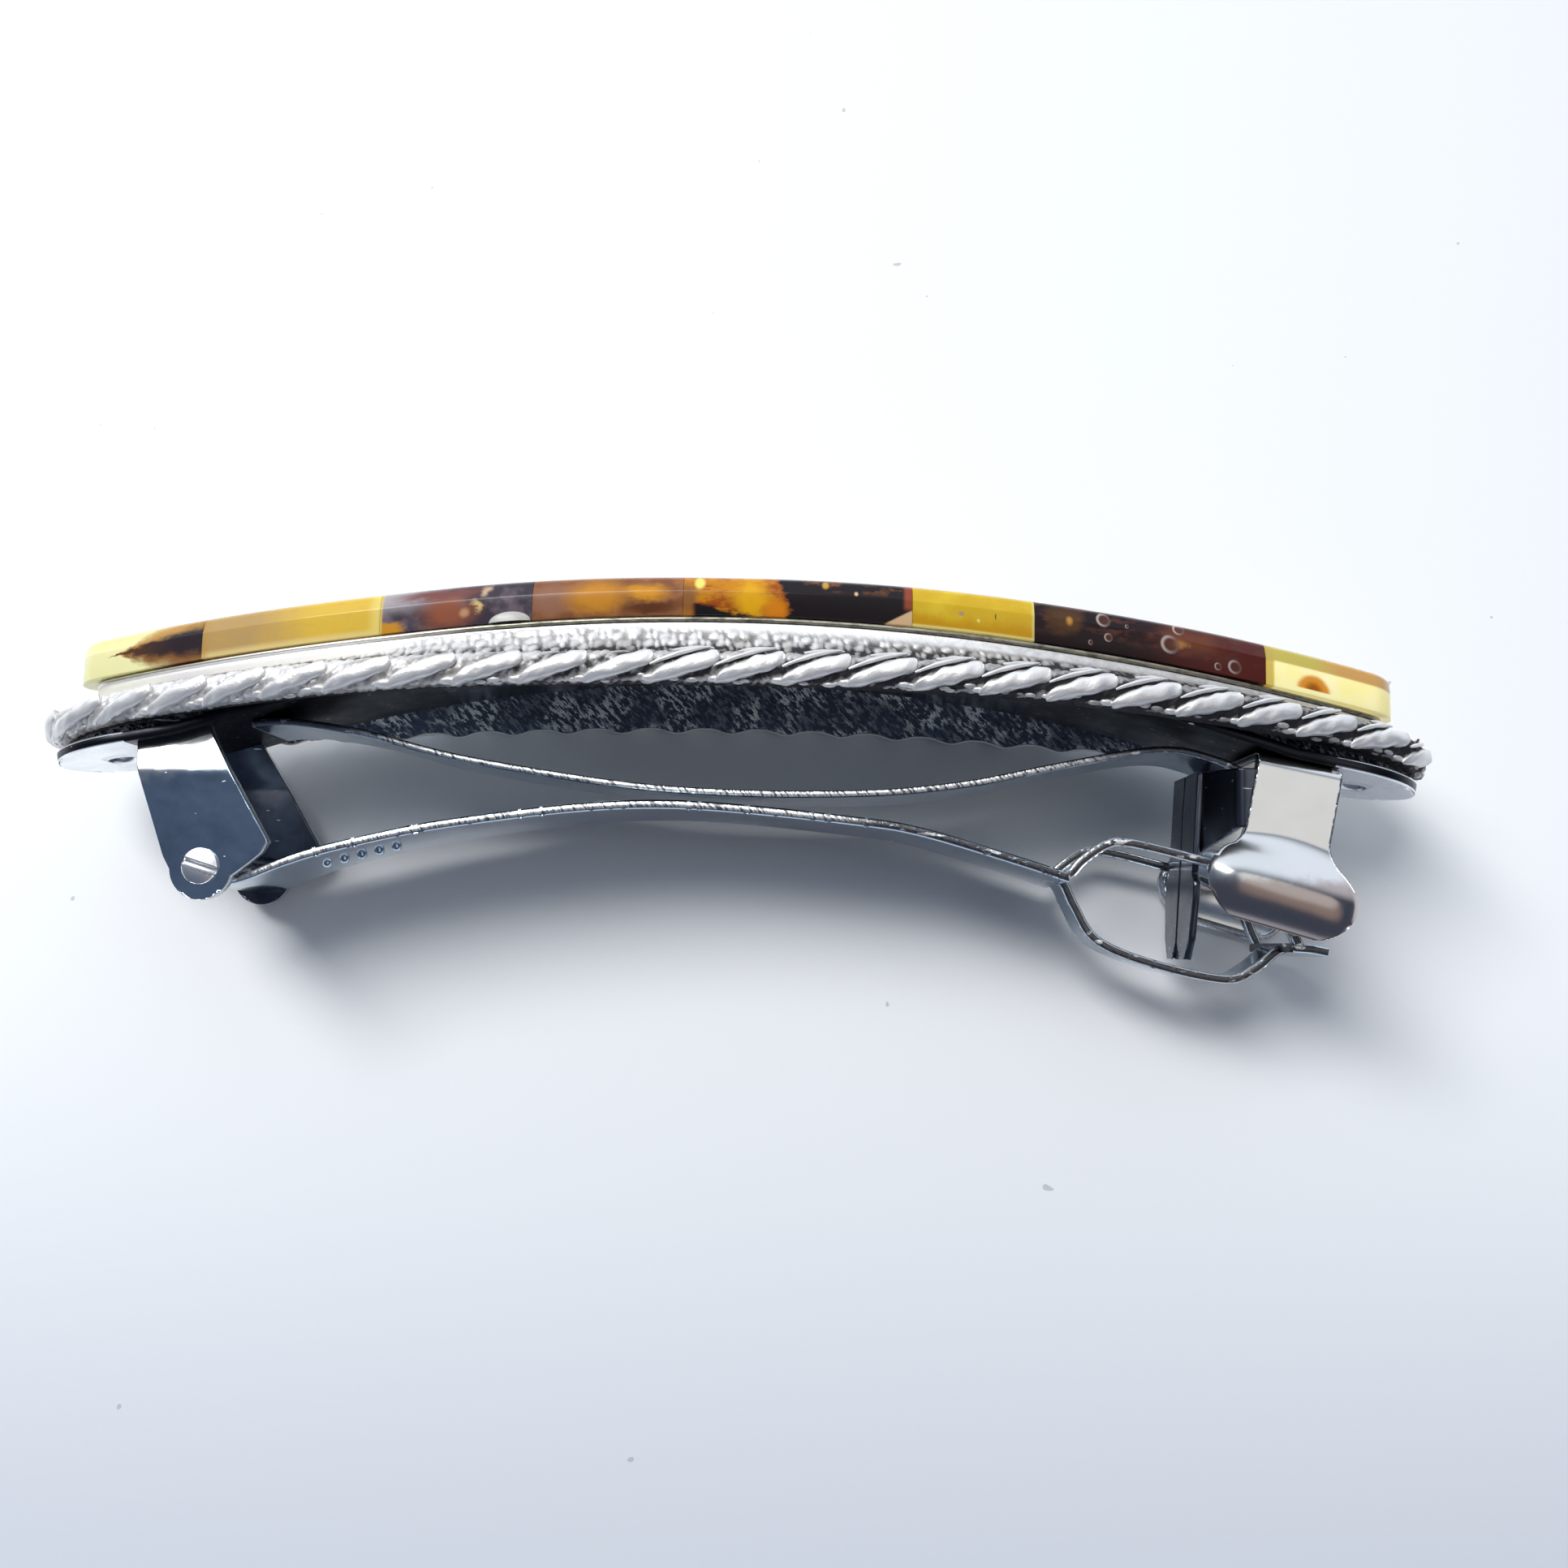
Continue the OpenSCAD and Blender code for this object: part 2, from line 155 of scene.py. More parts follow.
def speckle(place, scale, detail=3.0, rough=0.5, stretch=None):
    """Cloudy noise, its scale in cells per mm."""
    tree = place.id_data
    if stretch:
        place = add(tree, "ShaderNodeVectorMath", {0: place, 1: stretch}, operation="MULTIPLY").outputs[0]
    wires = {"Vector": place, "Scale": scale, "Detail": detail, "Roughness": rough}
    return add(tree, "ShaderNodeTexNoise", wires).outputs["Fac"]


def bump(made, height, depth, strength=1.0):
    """Raises the surface by the height, so many mm at 1."""
    wires = {"Height": height, "Distance": depth * MM, "Strength": strength}
    wire(made, Normal=add(made.node_tree, "ShaderNodeBump", wires).outputs[0])


paper_white = (0.96, 0.98, 1.0)
paper_cloud = (0.86, 0.89, 0.95)
paper_front_shade = (0.62, 0.66, 0.73)
paper_speck = (0.30, 0.31, 0.34)
PAPER_HALF = 0.8
paper, place = new_finish("paper", 0.75)
dust = step_up(speckle(place, 1.1, 0.0), 0.10, 0.085)
tone = mixed(times(speckle(place, 0.03, 2.0), 0.10), paper_white, paper_cloud)
# darker and bluer towards the front: painted shade
tone = mixed(step_up(split_up(place)[1], -8, -52), tone, paper_front_shade)
wire(paper, Base_Color=mixed(times(dust, 0.5), tone, paper_speck))
bump(paper, speckle(place, 1.6, 6.0, 0.6), 0.02, 0.5)
corners = [(PAPER_HALF * x, PAPER_HALF * y, 0) for x, y in ((-1, -1), (1, -1), (1, 1), (-1, 1))]
sheet_mesh = bpy.data.meshes.new("paper_sheet")
sheet_mesh.from_pydata(corners, [], [(0, 1, 2, 3)])
sheet_mesh.materials.append(paper)
paper_sheet = bpy.data.objects.new("paper_sheet", sheet_mesh)
bpy.context.scene.collection.objects.link(paper_sheet)


# The light: a window high up beyond the barrette and to its left, with pale sky all along that side, and a
# dim blue-grey room on this side. The clasp mirrors a patch of the ceiling with a warm patch beside it.
def along_way(vector, way):
    """How far the vector reaches along that way."""
    wires = {0: vector, 1: way}
    return add(vector.id_data, "ShaderNodeVectorMath", wires, operation="DOT_PRODUCT").outputs["Value"]


WINDOW_X, WINDOW_Y, WINDOW_Z = -0.19, 0.14, 0.445
lamp = bpy.data.lights.new("window", "AREA")
lamp.shape = "RECTANGLE"
lamp.size, lamp.size_y = 0.135, 0.38
lamp.energy = 2.0
lamp.color = (1.0, 0.99, 0.97)
window = bpy.data.objects.new("window", lamp)
window.location = (WINDOW_X, WINDOW_Y, WINDOW_Z)
tilt = math.atan2(math.hypot(WINDOW_X, WINDOW_Y), WINDOW_Z)
window.rotation_euler = (tilt, 0, math.atan2(-WINDOW_Y, -WINDOW_X) - math.pi / 2)
bpy.context.scene.collection.objects.link(window)
room_tone = (0.075, 0.10, 0.15)
sky_tone = (0.82, 0.895, 1.0)
ceiling_tone = (0.77, 0.775, 0.77)
ceiling_way = (0.37, -0.12, 0.92)
warm_tone = (0.42, 0.35, 0.32)
warm_way = (0.37, -0.46, 0.81)
room = bpy.data.worlds.new("room")
room.use_nodes = True
bpy.context.scene.world = room
aim = add(room.node_tree, "ShaderNodeTexCoord").outputs["Generated"]
tone = mixed(step_up(split_up(aim)[1], 0.12, 0.62), room_tone, sky_tone)
tone = mixed(step_up(along_way(aim, warm_way), 0.91, 0.99), tone, warm_tone)
tone = mixed(step_up(along_way(aim, ceiling_way), 0.93, 0.972), tone, ceiling_tone)
room.node_tree.links.new(tone, room.node_tree.nodes["Background"].inputs["Color"])
room.node_tree.nodes["Background"].inputs["Strength"].default_value = 1.0

# The cast plate: white metal cast in one piece, silvered, blackened in the hollows and rubbed bright on
# the high places. Its raised table carries the amber, its flank is granulated, its back hollow and sandy.
HALF_LEN = 40.1
HALF_W = 9.5
STRAIGHT = 13.0
SIDE_R = 62.0
TIP_R = (SIDE_R**2 - (SIDE_R - HALF_W)**2 - (HALF_LEN - STRAIGHT)**2) / (2 * (SIDE_R - HALF_LEN + STRAIGHT))
TIP_X = HALF_LEN - TIP_R
SIDE_A = math.asin((TIP_X - STRAIGHT) / (SIDE_R - TIP_R))
ROPE_R = 1.15
TIP_RUN = (math.pi / 2 - SIDE_A) * (TIP_R - ROPE_R)
SIDE_RUN = SIDE_A * (SIDE_R - ROPE_R)
QUARTER = TIP_RUN + SIDE_RUN + STRAIGHT
RIM_Y = 2.97
RIM_R = 262
RIM_DROOP = 0.45
DROOP_FROM = 33
DROOP_OVER = 6
LOBES = 48
LOBE_PITCH = 4 * QUARTER / LOBES
LOBE_FIRST = 2.2
LOBE_REACH = 1.95
LOBE_TILT = math.radians(-4)
LOBE_SWEEP = math.radians(50)
TABLE_INSET = 2.75
AMBER_Y = 7.32
ARCH_X = 14
ARCH_R = 125
ARCH_END_R = 450
LEFT_RISE = 0.48
RISE_FROM = -18
RISE_OVER = 20
GLUE = 0.1
TABLE_T = 0.9


def sag(r, x):
    """How far a circle of radius r has fallen at x."""
    return r - np.sqrt(r * r - x * x)


def outline(run, inset):
    """x and z on the plate's outline, inset so far, at a run along it from the right tip."""
    q = run % (4 * QUARTER)
    part = (q // QUARTER).astype(int)
    s = np.where(part % 2 == 0, q - part * QUARTER, (part + 1) * QUARTER - q)
    a_tip = s / (TIP_R - ROPE_R)
    a_side = math.pi / 2 - SIDE_A + (s - TIP_RUN) / (SIDE_R - ROPE_R)
    arcs = [s < TIP_RUN, s < TIP_RUN + SIDE_RUN]
    tip_x = TIP_X + (TIP_R - inset) * np.cos(a_tip)
    tip_z = (TIP_R - inset) * np.sin(a_tip)
    side_x = STRAIGHT + (SIDE_R - inset) * np.cos(a_side)
    side_z = HALF_W - SIDE_R + (SIDE_R - inset) * np.sin(a_side)
    x = np.select(arcs, [tip_x, side_x], STRAIGHT - (s - TIP_RUN - SIDE_RUN))
    z = np.select(arcs, [tip_z, side_z], HALF_W - inset)
    return np.where((part == 1) | (part == 2), -x, x), np.where(part >= 2, -z, z)


def rim_height(x):
    """The rim's height under the rope: a flat arch that droops a little more near its tips."""
    return RIM_Y - sag(RIM_R, x) - RIM_DROOP * (np.maximum(0, (np.abs(x) - DROOP_FROM) / DROOP_OVER))**2


def amber_low(x):
    """The height of the amber's foot: an arch that runs out flatter, raised towards the left end."""
    arch = sag(ARCH_R, np.minimum(np.abs(x), ARCH_X))
    beyond = np.maximum(np.abs(x) - ARCH_X, 0)
    raised = LEFT_RISE * np.clip((RISE_FROM - x) / RISE_OVER, 0, 1.02)**1.4
    return AMBER_Y - arch - ARCH_X / ARCH_R * beyond - sag(ARCH_END_R, beyond) + raised


def table_height(x):
    """The height of the plate's table, a layer of glue below the amber's foot."""
    return amber_low(x) - GLUE


def grid(rows, columns, ring=False, tube=False):
    """Faces of a grid of points; a ring joins the last row to the first, a tube the last column."""
    i, j = np.meshgrid(np.arange(rows - (not ring)), np.arange(columns - (not tube)), indexing="ij")
    i2, j2 = (i + 1) % rows, (j + 1) % columns
    corners = [i * columns + j, i2 * columns + j, i2 * columns + j2, i * columns + j2]
    return np.stack(corners, -1).reshape(-1, 4)


def new_piece(name, points, faces, finishes, stands_for=(), body="barrette", marks=None,
              face_finish=None):
    """A piece from points in the clip's own frame, riding on its body and standing for CAD nodes."""
    mesh = bpy.data.meshes.new(name)
    placed = np.clip(in_place(points), *np.array(cad_box))
    mesh.from_pydata(placed.tolist(), [], [tuple(int(v) for v in f) for f in faces])
    for made in finishes:
        mesh.materials.append(made)
    if face_finish is not None:
        mesh.polygons.foreach_set("material_index", np.asarray(face_finish, np.int32))
    mesh.polygons.foreach_set("use_smooth", [True] * len(mesh.polygons))
    for key, values in (marks or {}).items():
        kind, field = ("FLOAT", "value") if np.ndim(values) == 1 else ("FLOAT_VECTOR", "vector")
        mark = mesh.attributes.new(key, kind, "POINT")
        mark.data.foreach_set(field, np.asarray(values, np.float32).ravel())
    mesh.update()
    piece = bpy.data.objects.new(name, mesh)
    bpy.context.scene.collection.objects.link(piece)
    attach(piece, body)
    if stands_for:
        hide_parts(*stands_for)
    return piece


def mark_of(made, name, what="Fac"):
    """What the points of a mesh carry under that name."""
    return add(made.node_tree, "ShaderNodeAttribute", attribute_name=name).outputs[what]


silver_bright = (0.93, 0.92, 0.91)
silver_grey = (0.51, 0.49, 0.475)
silver_black = (0.04, 0.04, 0.045)
silver, place = new_finish("antiqued_silver", 0.4, Metallic=0.6)
tarnish = mark_of(silver, "tarnish")
patchy = speckle(place, 2.2, 5.0, 0.65)
sandy = speckle(place, 7.0, 3.0, 0.6)
depth = calc("ADD", tarnish, times(calc("SUBTRACT", patchy, 0.5), 0.5))
black = step_up(depth, 0.55, 1.0)
grey = step_up(depth, 0.2, 0.65)
metal = mixed(black, mixed(grey, silver_bright, silver_grey), silver_black)
wire(silver, Base_Color=metal, Roughness=step_up(depth, 0.0, 1.0, 0.42, 0.55))
bump(silver, calc("ADD", sandy, times(patchy, 0.7)), 0.05, 0.4)

hollow_dark = (0.085, 0.105, 0.155)
hollow_light = (0.95, 1.0, 1.0)
hollow, place = new_finish("sandy_hollow", 0.36, Metallic=1.0)
leaning = add(hollow.node_tree, "ShaderNodeMapping", {"Vector": place, "Rotation": (0, 0, 0.8)}).outputs[0]
sand = speckle(leaning, 2.4, 3.0, 0.7, (0.55, 1.7, 1.0))
areas = speckle(place, 0.42, 3.0)
level = mark_of(hollow, "tarnish")
sandy = times(step_up(sand, 0.48, 0.58), step_up(level, 0.5, 1.0))
sandy = times(sandy, step_up(areas, 0.42, 0.58, 0.2, 1.0))
wire(hollow, Base_Color=mixed(sandy, hollow_dark, hollow_light),
     Metallic=step_up(sandy, 0.3, 1.0, 1.0, 0.5))
bump(hollow, times(sand, level), 0.5, 0.9)

PLATE_CUTS = 1680
FLANK_POINTS = 18
BEAD_PITCH = 0.5
BEAD_ROWS = 7
BEAD_COUNT = int(4 * QUARTER / BEAD_PITCH)
BEAD_WIDE = 0.42
BEAD_HIGH = 0.58
runs = np.arange(PLATE_CUTS) * 4 * QUARTER / PLATE_CUTS
along_x = outline(runs, ROPE_R)[0]
rim = rim_height(along_x)
table = table_height(outline(runs, TABLE_INSET)[0])
beads = np.random.default_rng(11)
bead_at = beads.uniform(-0.3, 0.3, (BEAD_COUNT, BEAD_ROWS, 2))
bead_size = beads.uniform(0.5, 1.1, (BEAD_COUNT, BEAD_ROWS))


def bead_height(run, down, pitch=BEAD_PITCH):
    """The height of the granulated flank, 0 to 1, at a run along it and so many mm down from its top."""
    best = np.zeros(np.broadcast(run, down).shape)
    for di in (-1, 0, 1):
        for dj in (-1, 0, 1):
            i = np.floor(run / pitch).astype(int) + di
            j = np.clip(np.floor(down / pitch).astype(int) + dj, 0, BEAD_ROWS - 1)
            at = bead_at[i % BEAD_COUNT, j]
            u = (run / pitch - i - 0.5 - at[..., 0]) / BEAD_WIDE
            v = (down / pitch - j - 0.5 - at[..., 1] * (j > 0)) / BEAD_HIGH
            inside = np.maximum(0, 1 - u * u - v * v)
            best = np.maximum(best, np.sqrt(inside) * bead_size[i % BEAD_COUNT, j])
    return best


# the plate's section, as inset, height and stain: first the table and the groove under its edge
groove = np.interp(along_x, [-24, -12], [0.2, 1.0])
profile = [(3.9, table, 0.6), (TABLE_INSET, table, 0.2), (TABLE_INSET - 0.02, table - 0.26, 0.9 * groove),
           (TABLE_INSET + 0.05, table - 0.29, groove), (TABLE_INSET - 0.04, table - 0.33, 0.5 * groove)]
# the flank: smooth at its top, granulated below, and lighter at the left: painted light from the window on
# that side
flank_top, flank_low = table - 0.36, rim + 1.9 * ROPE_R
FLANK_INSET = TABLE_INSET - 0.04
BEAD_PROUD = 0.12
smooth_to = np.interp(along_x, [-26, -19, -17, -8, 4, 14, 24], [0.75, 0.6, 0.0, 0.05, 0.18, 0.3, 0.5])
ramp = np.interp(along_x, [-10, 0], [0.1, 0.25])
painted_light_ramp = np.interp(along_x, [-19, -6, 10, 20], [0.0, 0.16, 0.30, 0.45])
for t in np.linspace(0, 1, FLANK_POINTS):
    height = flank_top + (flank_low - flank_top) * t
    grainy = np.clip((t - smooth_to) / ramp, 0, 1)
    rough = bead_height(runs + 0.1 * np.sin(5 * runs + 6 * t), (flank_top - flank_low) * t) * grainy
    proud = BEAD_PROUD * rough
    inset = FLANK_INSET + (1.7 - FLANK_INSET) * t**1.6
    stain = painted_light_ramp + grainy * (0.48 - 0.62 * rough) + 0.5 * t**4
    profile.append((inset - proud, height + 0.3 * proud, stain))
# the core of the rope, pitted and stained between the lobes; the stain grows towards the right, and its
# paleness at the left is painted light from the window there
CORE_R = 0.70 * ROPE_R
core_stain_and_painted_light = np.interp(along_x, [-25, -8, 5, 20], [0.2, 0.38, 0.48, 0.7])
core_pits_and_painted_light = np.interp(along_x, [-25, -8, 6], [0.3, 0.6, 0.78])
for angle in range(120, -110, -10):
    a = math.radians(angle)
    past = (runs - LOBE_FIRST + LOBE_REACH * (a - LOBE_TILT) / LOBE_SWEEP) / LOBE_PITCH
    gap = 0.5 - 0.5 * np.cos(2 * math.pi * past)
    rough = bead_height(runs + 0.13 + 0.5 * a, math.radians(120 - angle) * CORE_R, 0.46)
    pit = np.clip(gap * 1.2 - 0.75 * rough, 0, 1) if -75 < angle < 100 else 1.0 - 0.5 * rough
    r = CORE_R + 0.13 * rough
    profile.append((ROPE_R - r * math.cos(a), rim + ROPE_R + r * math.sin(a), core_stain_and_painted_light + core_pits_and_painted_light * pit))
# the lip round the hollow, scalloped on the far side, and the hollow itself
back = table - TABLE_T
scallop = (0.5 + 0.5 * np.cos(2 * math.pi * ((runs - LOBE_FIRST) / LOBE_PITCH - 0.2)))**1.6
far_side = np.clip(-outline(runs, ROPE_R)[1] / 2, 0, 1)
lip = rim + 0.25 - (0.10 + 0.3 * scallop) * far_side
profile += [(1.4, lip + 0.06, 1 - 0.4 * far_side), (1.52, lip, 1 - far_side),
            (1.66, lip + 0.02, 1 - far_side)]
back_from = len(profile)
profile += [(1.74, lip + 0.1, 1.0), (1.9, rim + 0.5, 0.8), (2.2, rim + 0.9, 1.0),
            (2.6, (rim + back) / 2 + 0.25, 1.0), (3.1, back - 0.35, 1.0), (3.9, back, 0.8)]
columns, stains = [], []
for inset, height, stain in profile:
    x, z = outline(runs, inset)
    columns.append(xyz(x, height, z))
    stains.append(np.broadcast_to(stain, x.shape))
m = len(profile)
faces = grid(PLATE_CUTS, m, ring=True)[:, ::-1].tolist()
# the table and the hollow are closed by strips across, from each cut on the near side to its far twin
for i in range(PLATE_CUTS // 2):
    far, far2 = (PLATE_CUTS - i) % PLATE_CUTS, PLATE_CUTS - i - 1
    faces.append([i * m, (i + 1) * m, far2 * m, far * m] if i else [0, m, far2 * m])
    lid = [(i + 1) * m + m - 1, i * m + m - 1, far * m + m - 1, far2 * m + m - 1]
    faces.append(lid if i and far2 != i + 1 else lid[:2] + lid[3:])
faces = [f for f in faces if len(set(f)) == len(f)]
new_piece("cast_plate", np.stack(columns, 1), faces, [silver, hollow], ["base_plate"],
          marks={"tarnish": np.stack(stains, 1).ravel()},
          face_finish=[int(min(v % m for v in f) >= back_from) for f in faces])

# The table's top edge: the same metal, filed flat and polished. The amber above it is painted into its
# colour as a reflection, a thin olive line, and the line's paleness at the left is painted light.
edge_amber_reflection = (0.42, 0.40, 0.31)
edge_dark = (0.16, 0.15, 0.12)
edge_pale_painted_light = (0.86, 0.85, 0.80)
edge_metal, place = new_finish("table_edge_painted_reflection", 0.38, Metallic=1.0)
painted_reflection_mask = speckle(place, 1.4, 4.0, 0.6, (1.0, 3.0, 1.0))
along = split_up(place)[0]
darker = times(step_up(painted_reflection_mask, 0.42, 0.7), step_up(along, -22, -8, 0.4, 1.0))
line = mixed(darker, edge_amber_reflection, edge_dark)
# paler at the left: painted light
wire(edge_metal, Base_Color=mixed(step_up(along, -13, -22), line, edge_pale_painted_light))
bump(edge_metal, speckle(place, 9.0, 2.0), 0.01, 0.5)
EDGE_RING = [(2.9, 0.0), (2.72, 0.0), (2.66, -0.03), (2.64, -0.12), (2.66, -0.22), (2.72, -0.25),
             (2.9, -0.25)]
runs, table = runs[::2], table[::2]
rings = [xyz(outline(runs, inset)[0], table + up, outline(runs, inset)[1]) for inset, up in EDGE_RING]
faces = grid(len(runs), len(EDGE_RING), ring=True, tube=True)[:, ::-1]
new_piece("table_edge", np.stack(rings, 1), faces, [edge_metal], ["base_plate"])

# The rope border: cast with the plate in the likeness of thick strands laid up round a core, each with a
# fine wire beside it. Only short fat lobes show; they are rubbed bright, the pits between them stay black.
LOBE_W = 0.74
LOBE_H = 0.46
WIRE_W = 0.14
WIRE_OFF = 0.88
WIRE_FROM_X = -4
slope = math.atan2(ROPE_R * LOBE_SWEEP, LOBE_REACH)
grit = np.random.default_rng(5)
grit_waves = grit.uniform(1.5, 7, (10, 2)) * grit.choice([-1, 1], (10, 2))
grit_phase = grit.uniform(0, 2 * math.pi, 10)


def on_rope(run, lay, radial):
    """Points so far along the rope, so far from the middle of its core, at that angle round it."""
    x, z = outline(run, ROPE_R - radial * np.cos(lay))
    y = rim_height(outline(run, ROPE_R)[0]) + ROPE_R + radial * np.sin(lay)
    return xyz(x, y, z).reshape(-1, 3)


def rope_tubes(t, off, wide, high, sides, lumps, lobes):
    """Points, faces and depth of short tubes, each wound a part of a turn round the rope's core."""
    points, deep = [], []
    phi = np.linspace(0, 2 * math.pi, sides, endpoint=False)
    for k in lobes:
        run = LOBE_FIRST + k * LOBE_PITCH - LOBE_REACH * t[:, None]
        lump = sum(np.sin(w[0] * run + w[1] * phi + p) for w, p in zip(grit_waves, grit_phase)) / 10 * lumps
        over = off + (wide[:, None] + lump) * np.sin(phi)
        radial = ROPE_R - high[:, None] + (high[:, None] + lump) * np.cos(phi)
        lay = LOBE_TILT + LOBE_SWEEP * t[:, None] + over * math.cos(slope) / ROPE_R
        points.append(on_rope(run + over * math.sin(slope), lay, radial))
        deep.append((1 - radial / ROPE_R).ravel())
    n = len(t) * sides
    faces = np.concatenate([grid(len(t), sides, tube=True) + k * n for k in range(len(lobes))])
    return np.concatenate(points), faces, np.concatenate(deep)


# the lobes: fat spindles, each blunter at its lower end
t = -np.cos(np.linspace(0.03, math.pi - 0.03, 34))
girth = np.sqrt(1 - np.abs(t)**np.where(t > 0, 6, 2.6)) * (0.88 + 0.2 * t)
t = 0.93 * t - 0.07
points, faces, deep = rope_tubes(t, 0, LOBE_W * girth, LOBE_H * girth, 18, 0.15, range(LOBES))
# the lobes' stain is patina in their hollows; it grows towards the right, and the paler left is painted
# light from the window
lobe_stain_and_painted_light = np.interp(points[:, 0], [-22, -5, 10], [2.0, 2.8, 3.4])
new_piece("rope_lobes", points, faces, [silver], ["base_plate"],
          marks={"tarnish": np.clip(deep * lobe_stain_and_painted_light - 0.11, 0, 1)})
lobe_x = outline(LOBE_FIRST + np.arange(LOBES) * LOBE_PITCH, ROPE_R)[0]
wired = np.flatnonzero(lobe_x > WIRE_FROM_X).tolist()
thin = WIRE_W * np.sqrt(np.sin(np.linspace(0.12, math.pi - 0.12, 20)))
wires = (("rope_wires", WIRE_OFF, -0.75, 0.85), ("rope_wires_two", WIRE_OFF + 0.3, -0.1, 1.0))
for name, off, first, last in wires:
    points, faces, deep = rope_tubes(np.linspace(first, last, 20), off, thin, thin, 8, 0.05, wired)
    new_piece(name, points, faces, [silver], ["base_plate"],
              marks={"tarnish": np.clip(deep * 2.0, 0, 1)})


def ball_angles(rows, columns):
    """The angles down and round a ball of so many rows and columns of points."""
    down = np.linspace(0, math.pi, rows)
    return np.meshgrid(down, np.linspace(0, 2 * math.pi, columns, endpoint=False), indexing="ij")


# the grains: a bright one at the foot of each lobe and small stained ones in the pit beside it
GRAINS_EACH = 4
foot_size = np.interp(lobe_x, [0, 16], [1.0, 0.7])
# the small grains are stained more towards the right; the paler left is painted light from the window
grain_stain_and_painted_light = np.interp(lobe_x, [8, 16], [0.0, 0.35])
ball_a, ball_b = ball_angles(7, 8)
grains, stains = [], []
for k in range(LOBES):
    for j in range(GRAINS_EACH):
        size = grit.uniform(0.12, 0.24) if j else grit.uniform(0.28, 0.38) * foot_size[k]
        off = grit.uniform(-1.5, 0.9) if j else grit.uniform(1.8, 2.2)
        low = grit.uniform(-72, -35) if j else grit.uniform(-54, -47)
        run = LOBE_FIRST + k * LOBE_PITCH + off + 1.7 * size * np.sin(ball_a) * np.cos(ball_b)
        lay = math.radians(low) + size * np.sin(ball_a) * np.sin(ball_b) / ROPE_R
        radial = CORE_R + 0.42 * size + 0.55 * size * np.cos(ball_a)
        grains.append(on_rope(run, lay, radial))
        stains.append(np.full(ball_a.size, grit.uniform(0.05, 0.45) + grain_stain_and_painted_light[k] if j else 0.0))
faces = np.concatenate([grid(7, 8, tube=True) + k * ball_a.size for k in range(len(grains))])
new_piece("rope_grains", np.concatenate(grains), faces, [silver], ["base_plate"],
          marks={"tarnish": np.concatenate(stains)})

# The amber: eight tiles cut from different pieces, glued end to end on the table, then ground together to
# one arched bar with a bevel along its top and polished. Each tile has its own colour and inclusions.
TILE_ENDS = [-38.35, -29.8, -19.3, -10.9, -2.65, 9.85, 16.5, 29.6, 38]
TILE_GAP = 0.02
AMBER_T = 2.25
AMBER_T_MORE = 0.15
MORE_OVER = 30
NARROW_R = 66
BEVEL_W = 0.85
CORNER_R = 1.6
END_ROUND = 0.35
END_T = 2.3
# one side of the ground profile, from the foot to the flat top: share of the bevel's width, share of height
TILE_SIDE = [(0.03, 0.0), (0.0, 0.02), (0.0, 0.575), (0.0, 0.6), (0.008, 0.615), (0.03, 0.635), (0.16, 0.75),
             (0.29, 0.865), (0.34, 0.895), (0.42, 0.925), (0.6, 0.96), (0.8, 0.99), (1.0, 1.0)]


def to_bar_end(x):
    """How far it is to the nearer end of the bar."""
    return np.minimum(x - TILE_ENDS[0], TILE_ENDS[-1] - x)


def amber_half(x):
    """Half the bar's width: it narrows with the plate, and its corners are rounded."""
    narrowing = sag(NARROW_R, np.maximum(0, np.abs(x) - STRAIGHT))
    corner = sag(CORNER_R, np.clip(CORNER_R - to_bar_end(x), 0, CORNER_R - 0.0005))
    return HALF_W - TABLE_INSET - narrowing - corner


def amber_top(x):
    """The height of the amber's flat top: the bar is a little thicker towards its ends."""
    outward = np.minimum(1, np.abs(x) / MORE_OVER)
    return amber_low(x) + AMBER_T + AMBER_T_MORE * np.sin(outward * math.pi / 2)


def amber_finish(name, glow, glow_depth):
    """Polished amber: a clear hard surface over a body that light enters a little. Gives its material, the
    shares along and up the tile, and two noises that its colours drift by."""
    made, place = new_finish(name, 0.2, IOR=1.45, Specular_IOR_Level=0.28, Subsurface_Weight=glow,
                             Subsurface_Radius=(1.0, 0.45, 0.12), Subsurface_Scale=glow_depth * MM)
    bump(made, speckle(place, 0.8, 2.0), 0.004, 0.4)
    u, v = split_up(mark_of(made, "spot", "Vector"))[:2]
    return made, u, v, speckle(place, 0.55, 4.0, 0.55), speckle(place, 1.3, 3.0, 0.6, (0.6, 1.4, 1.0))


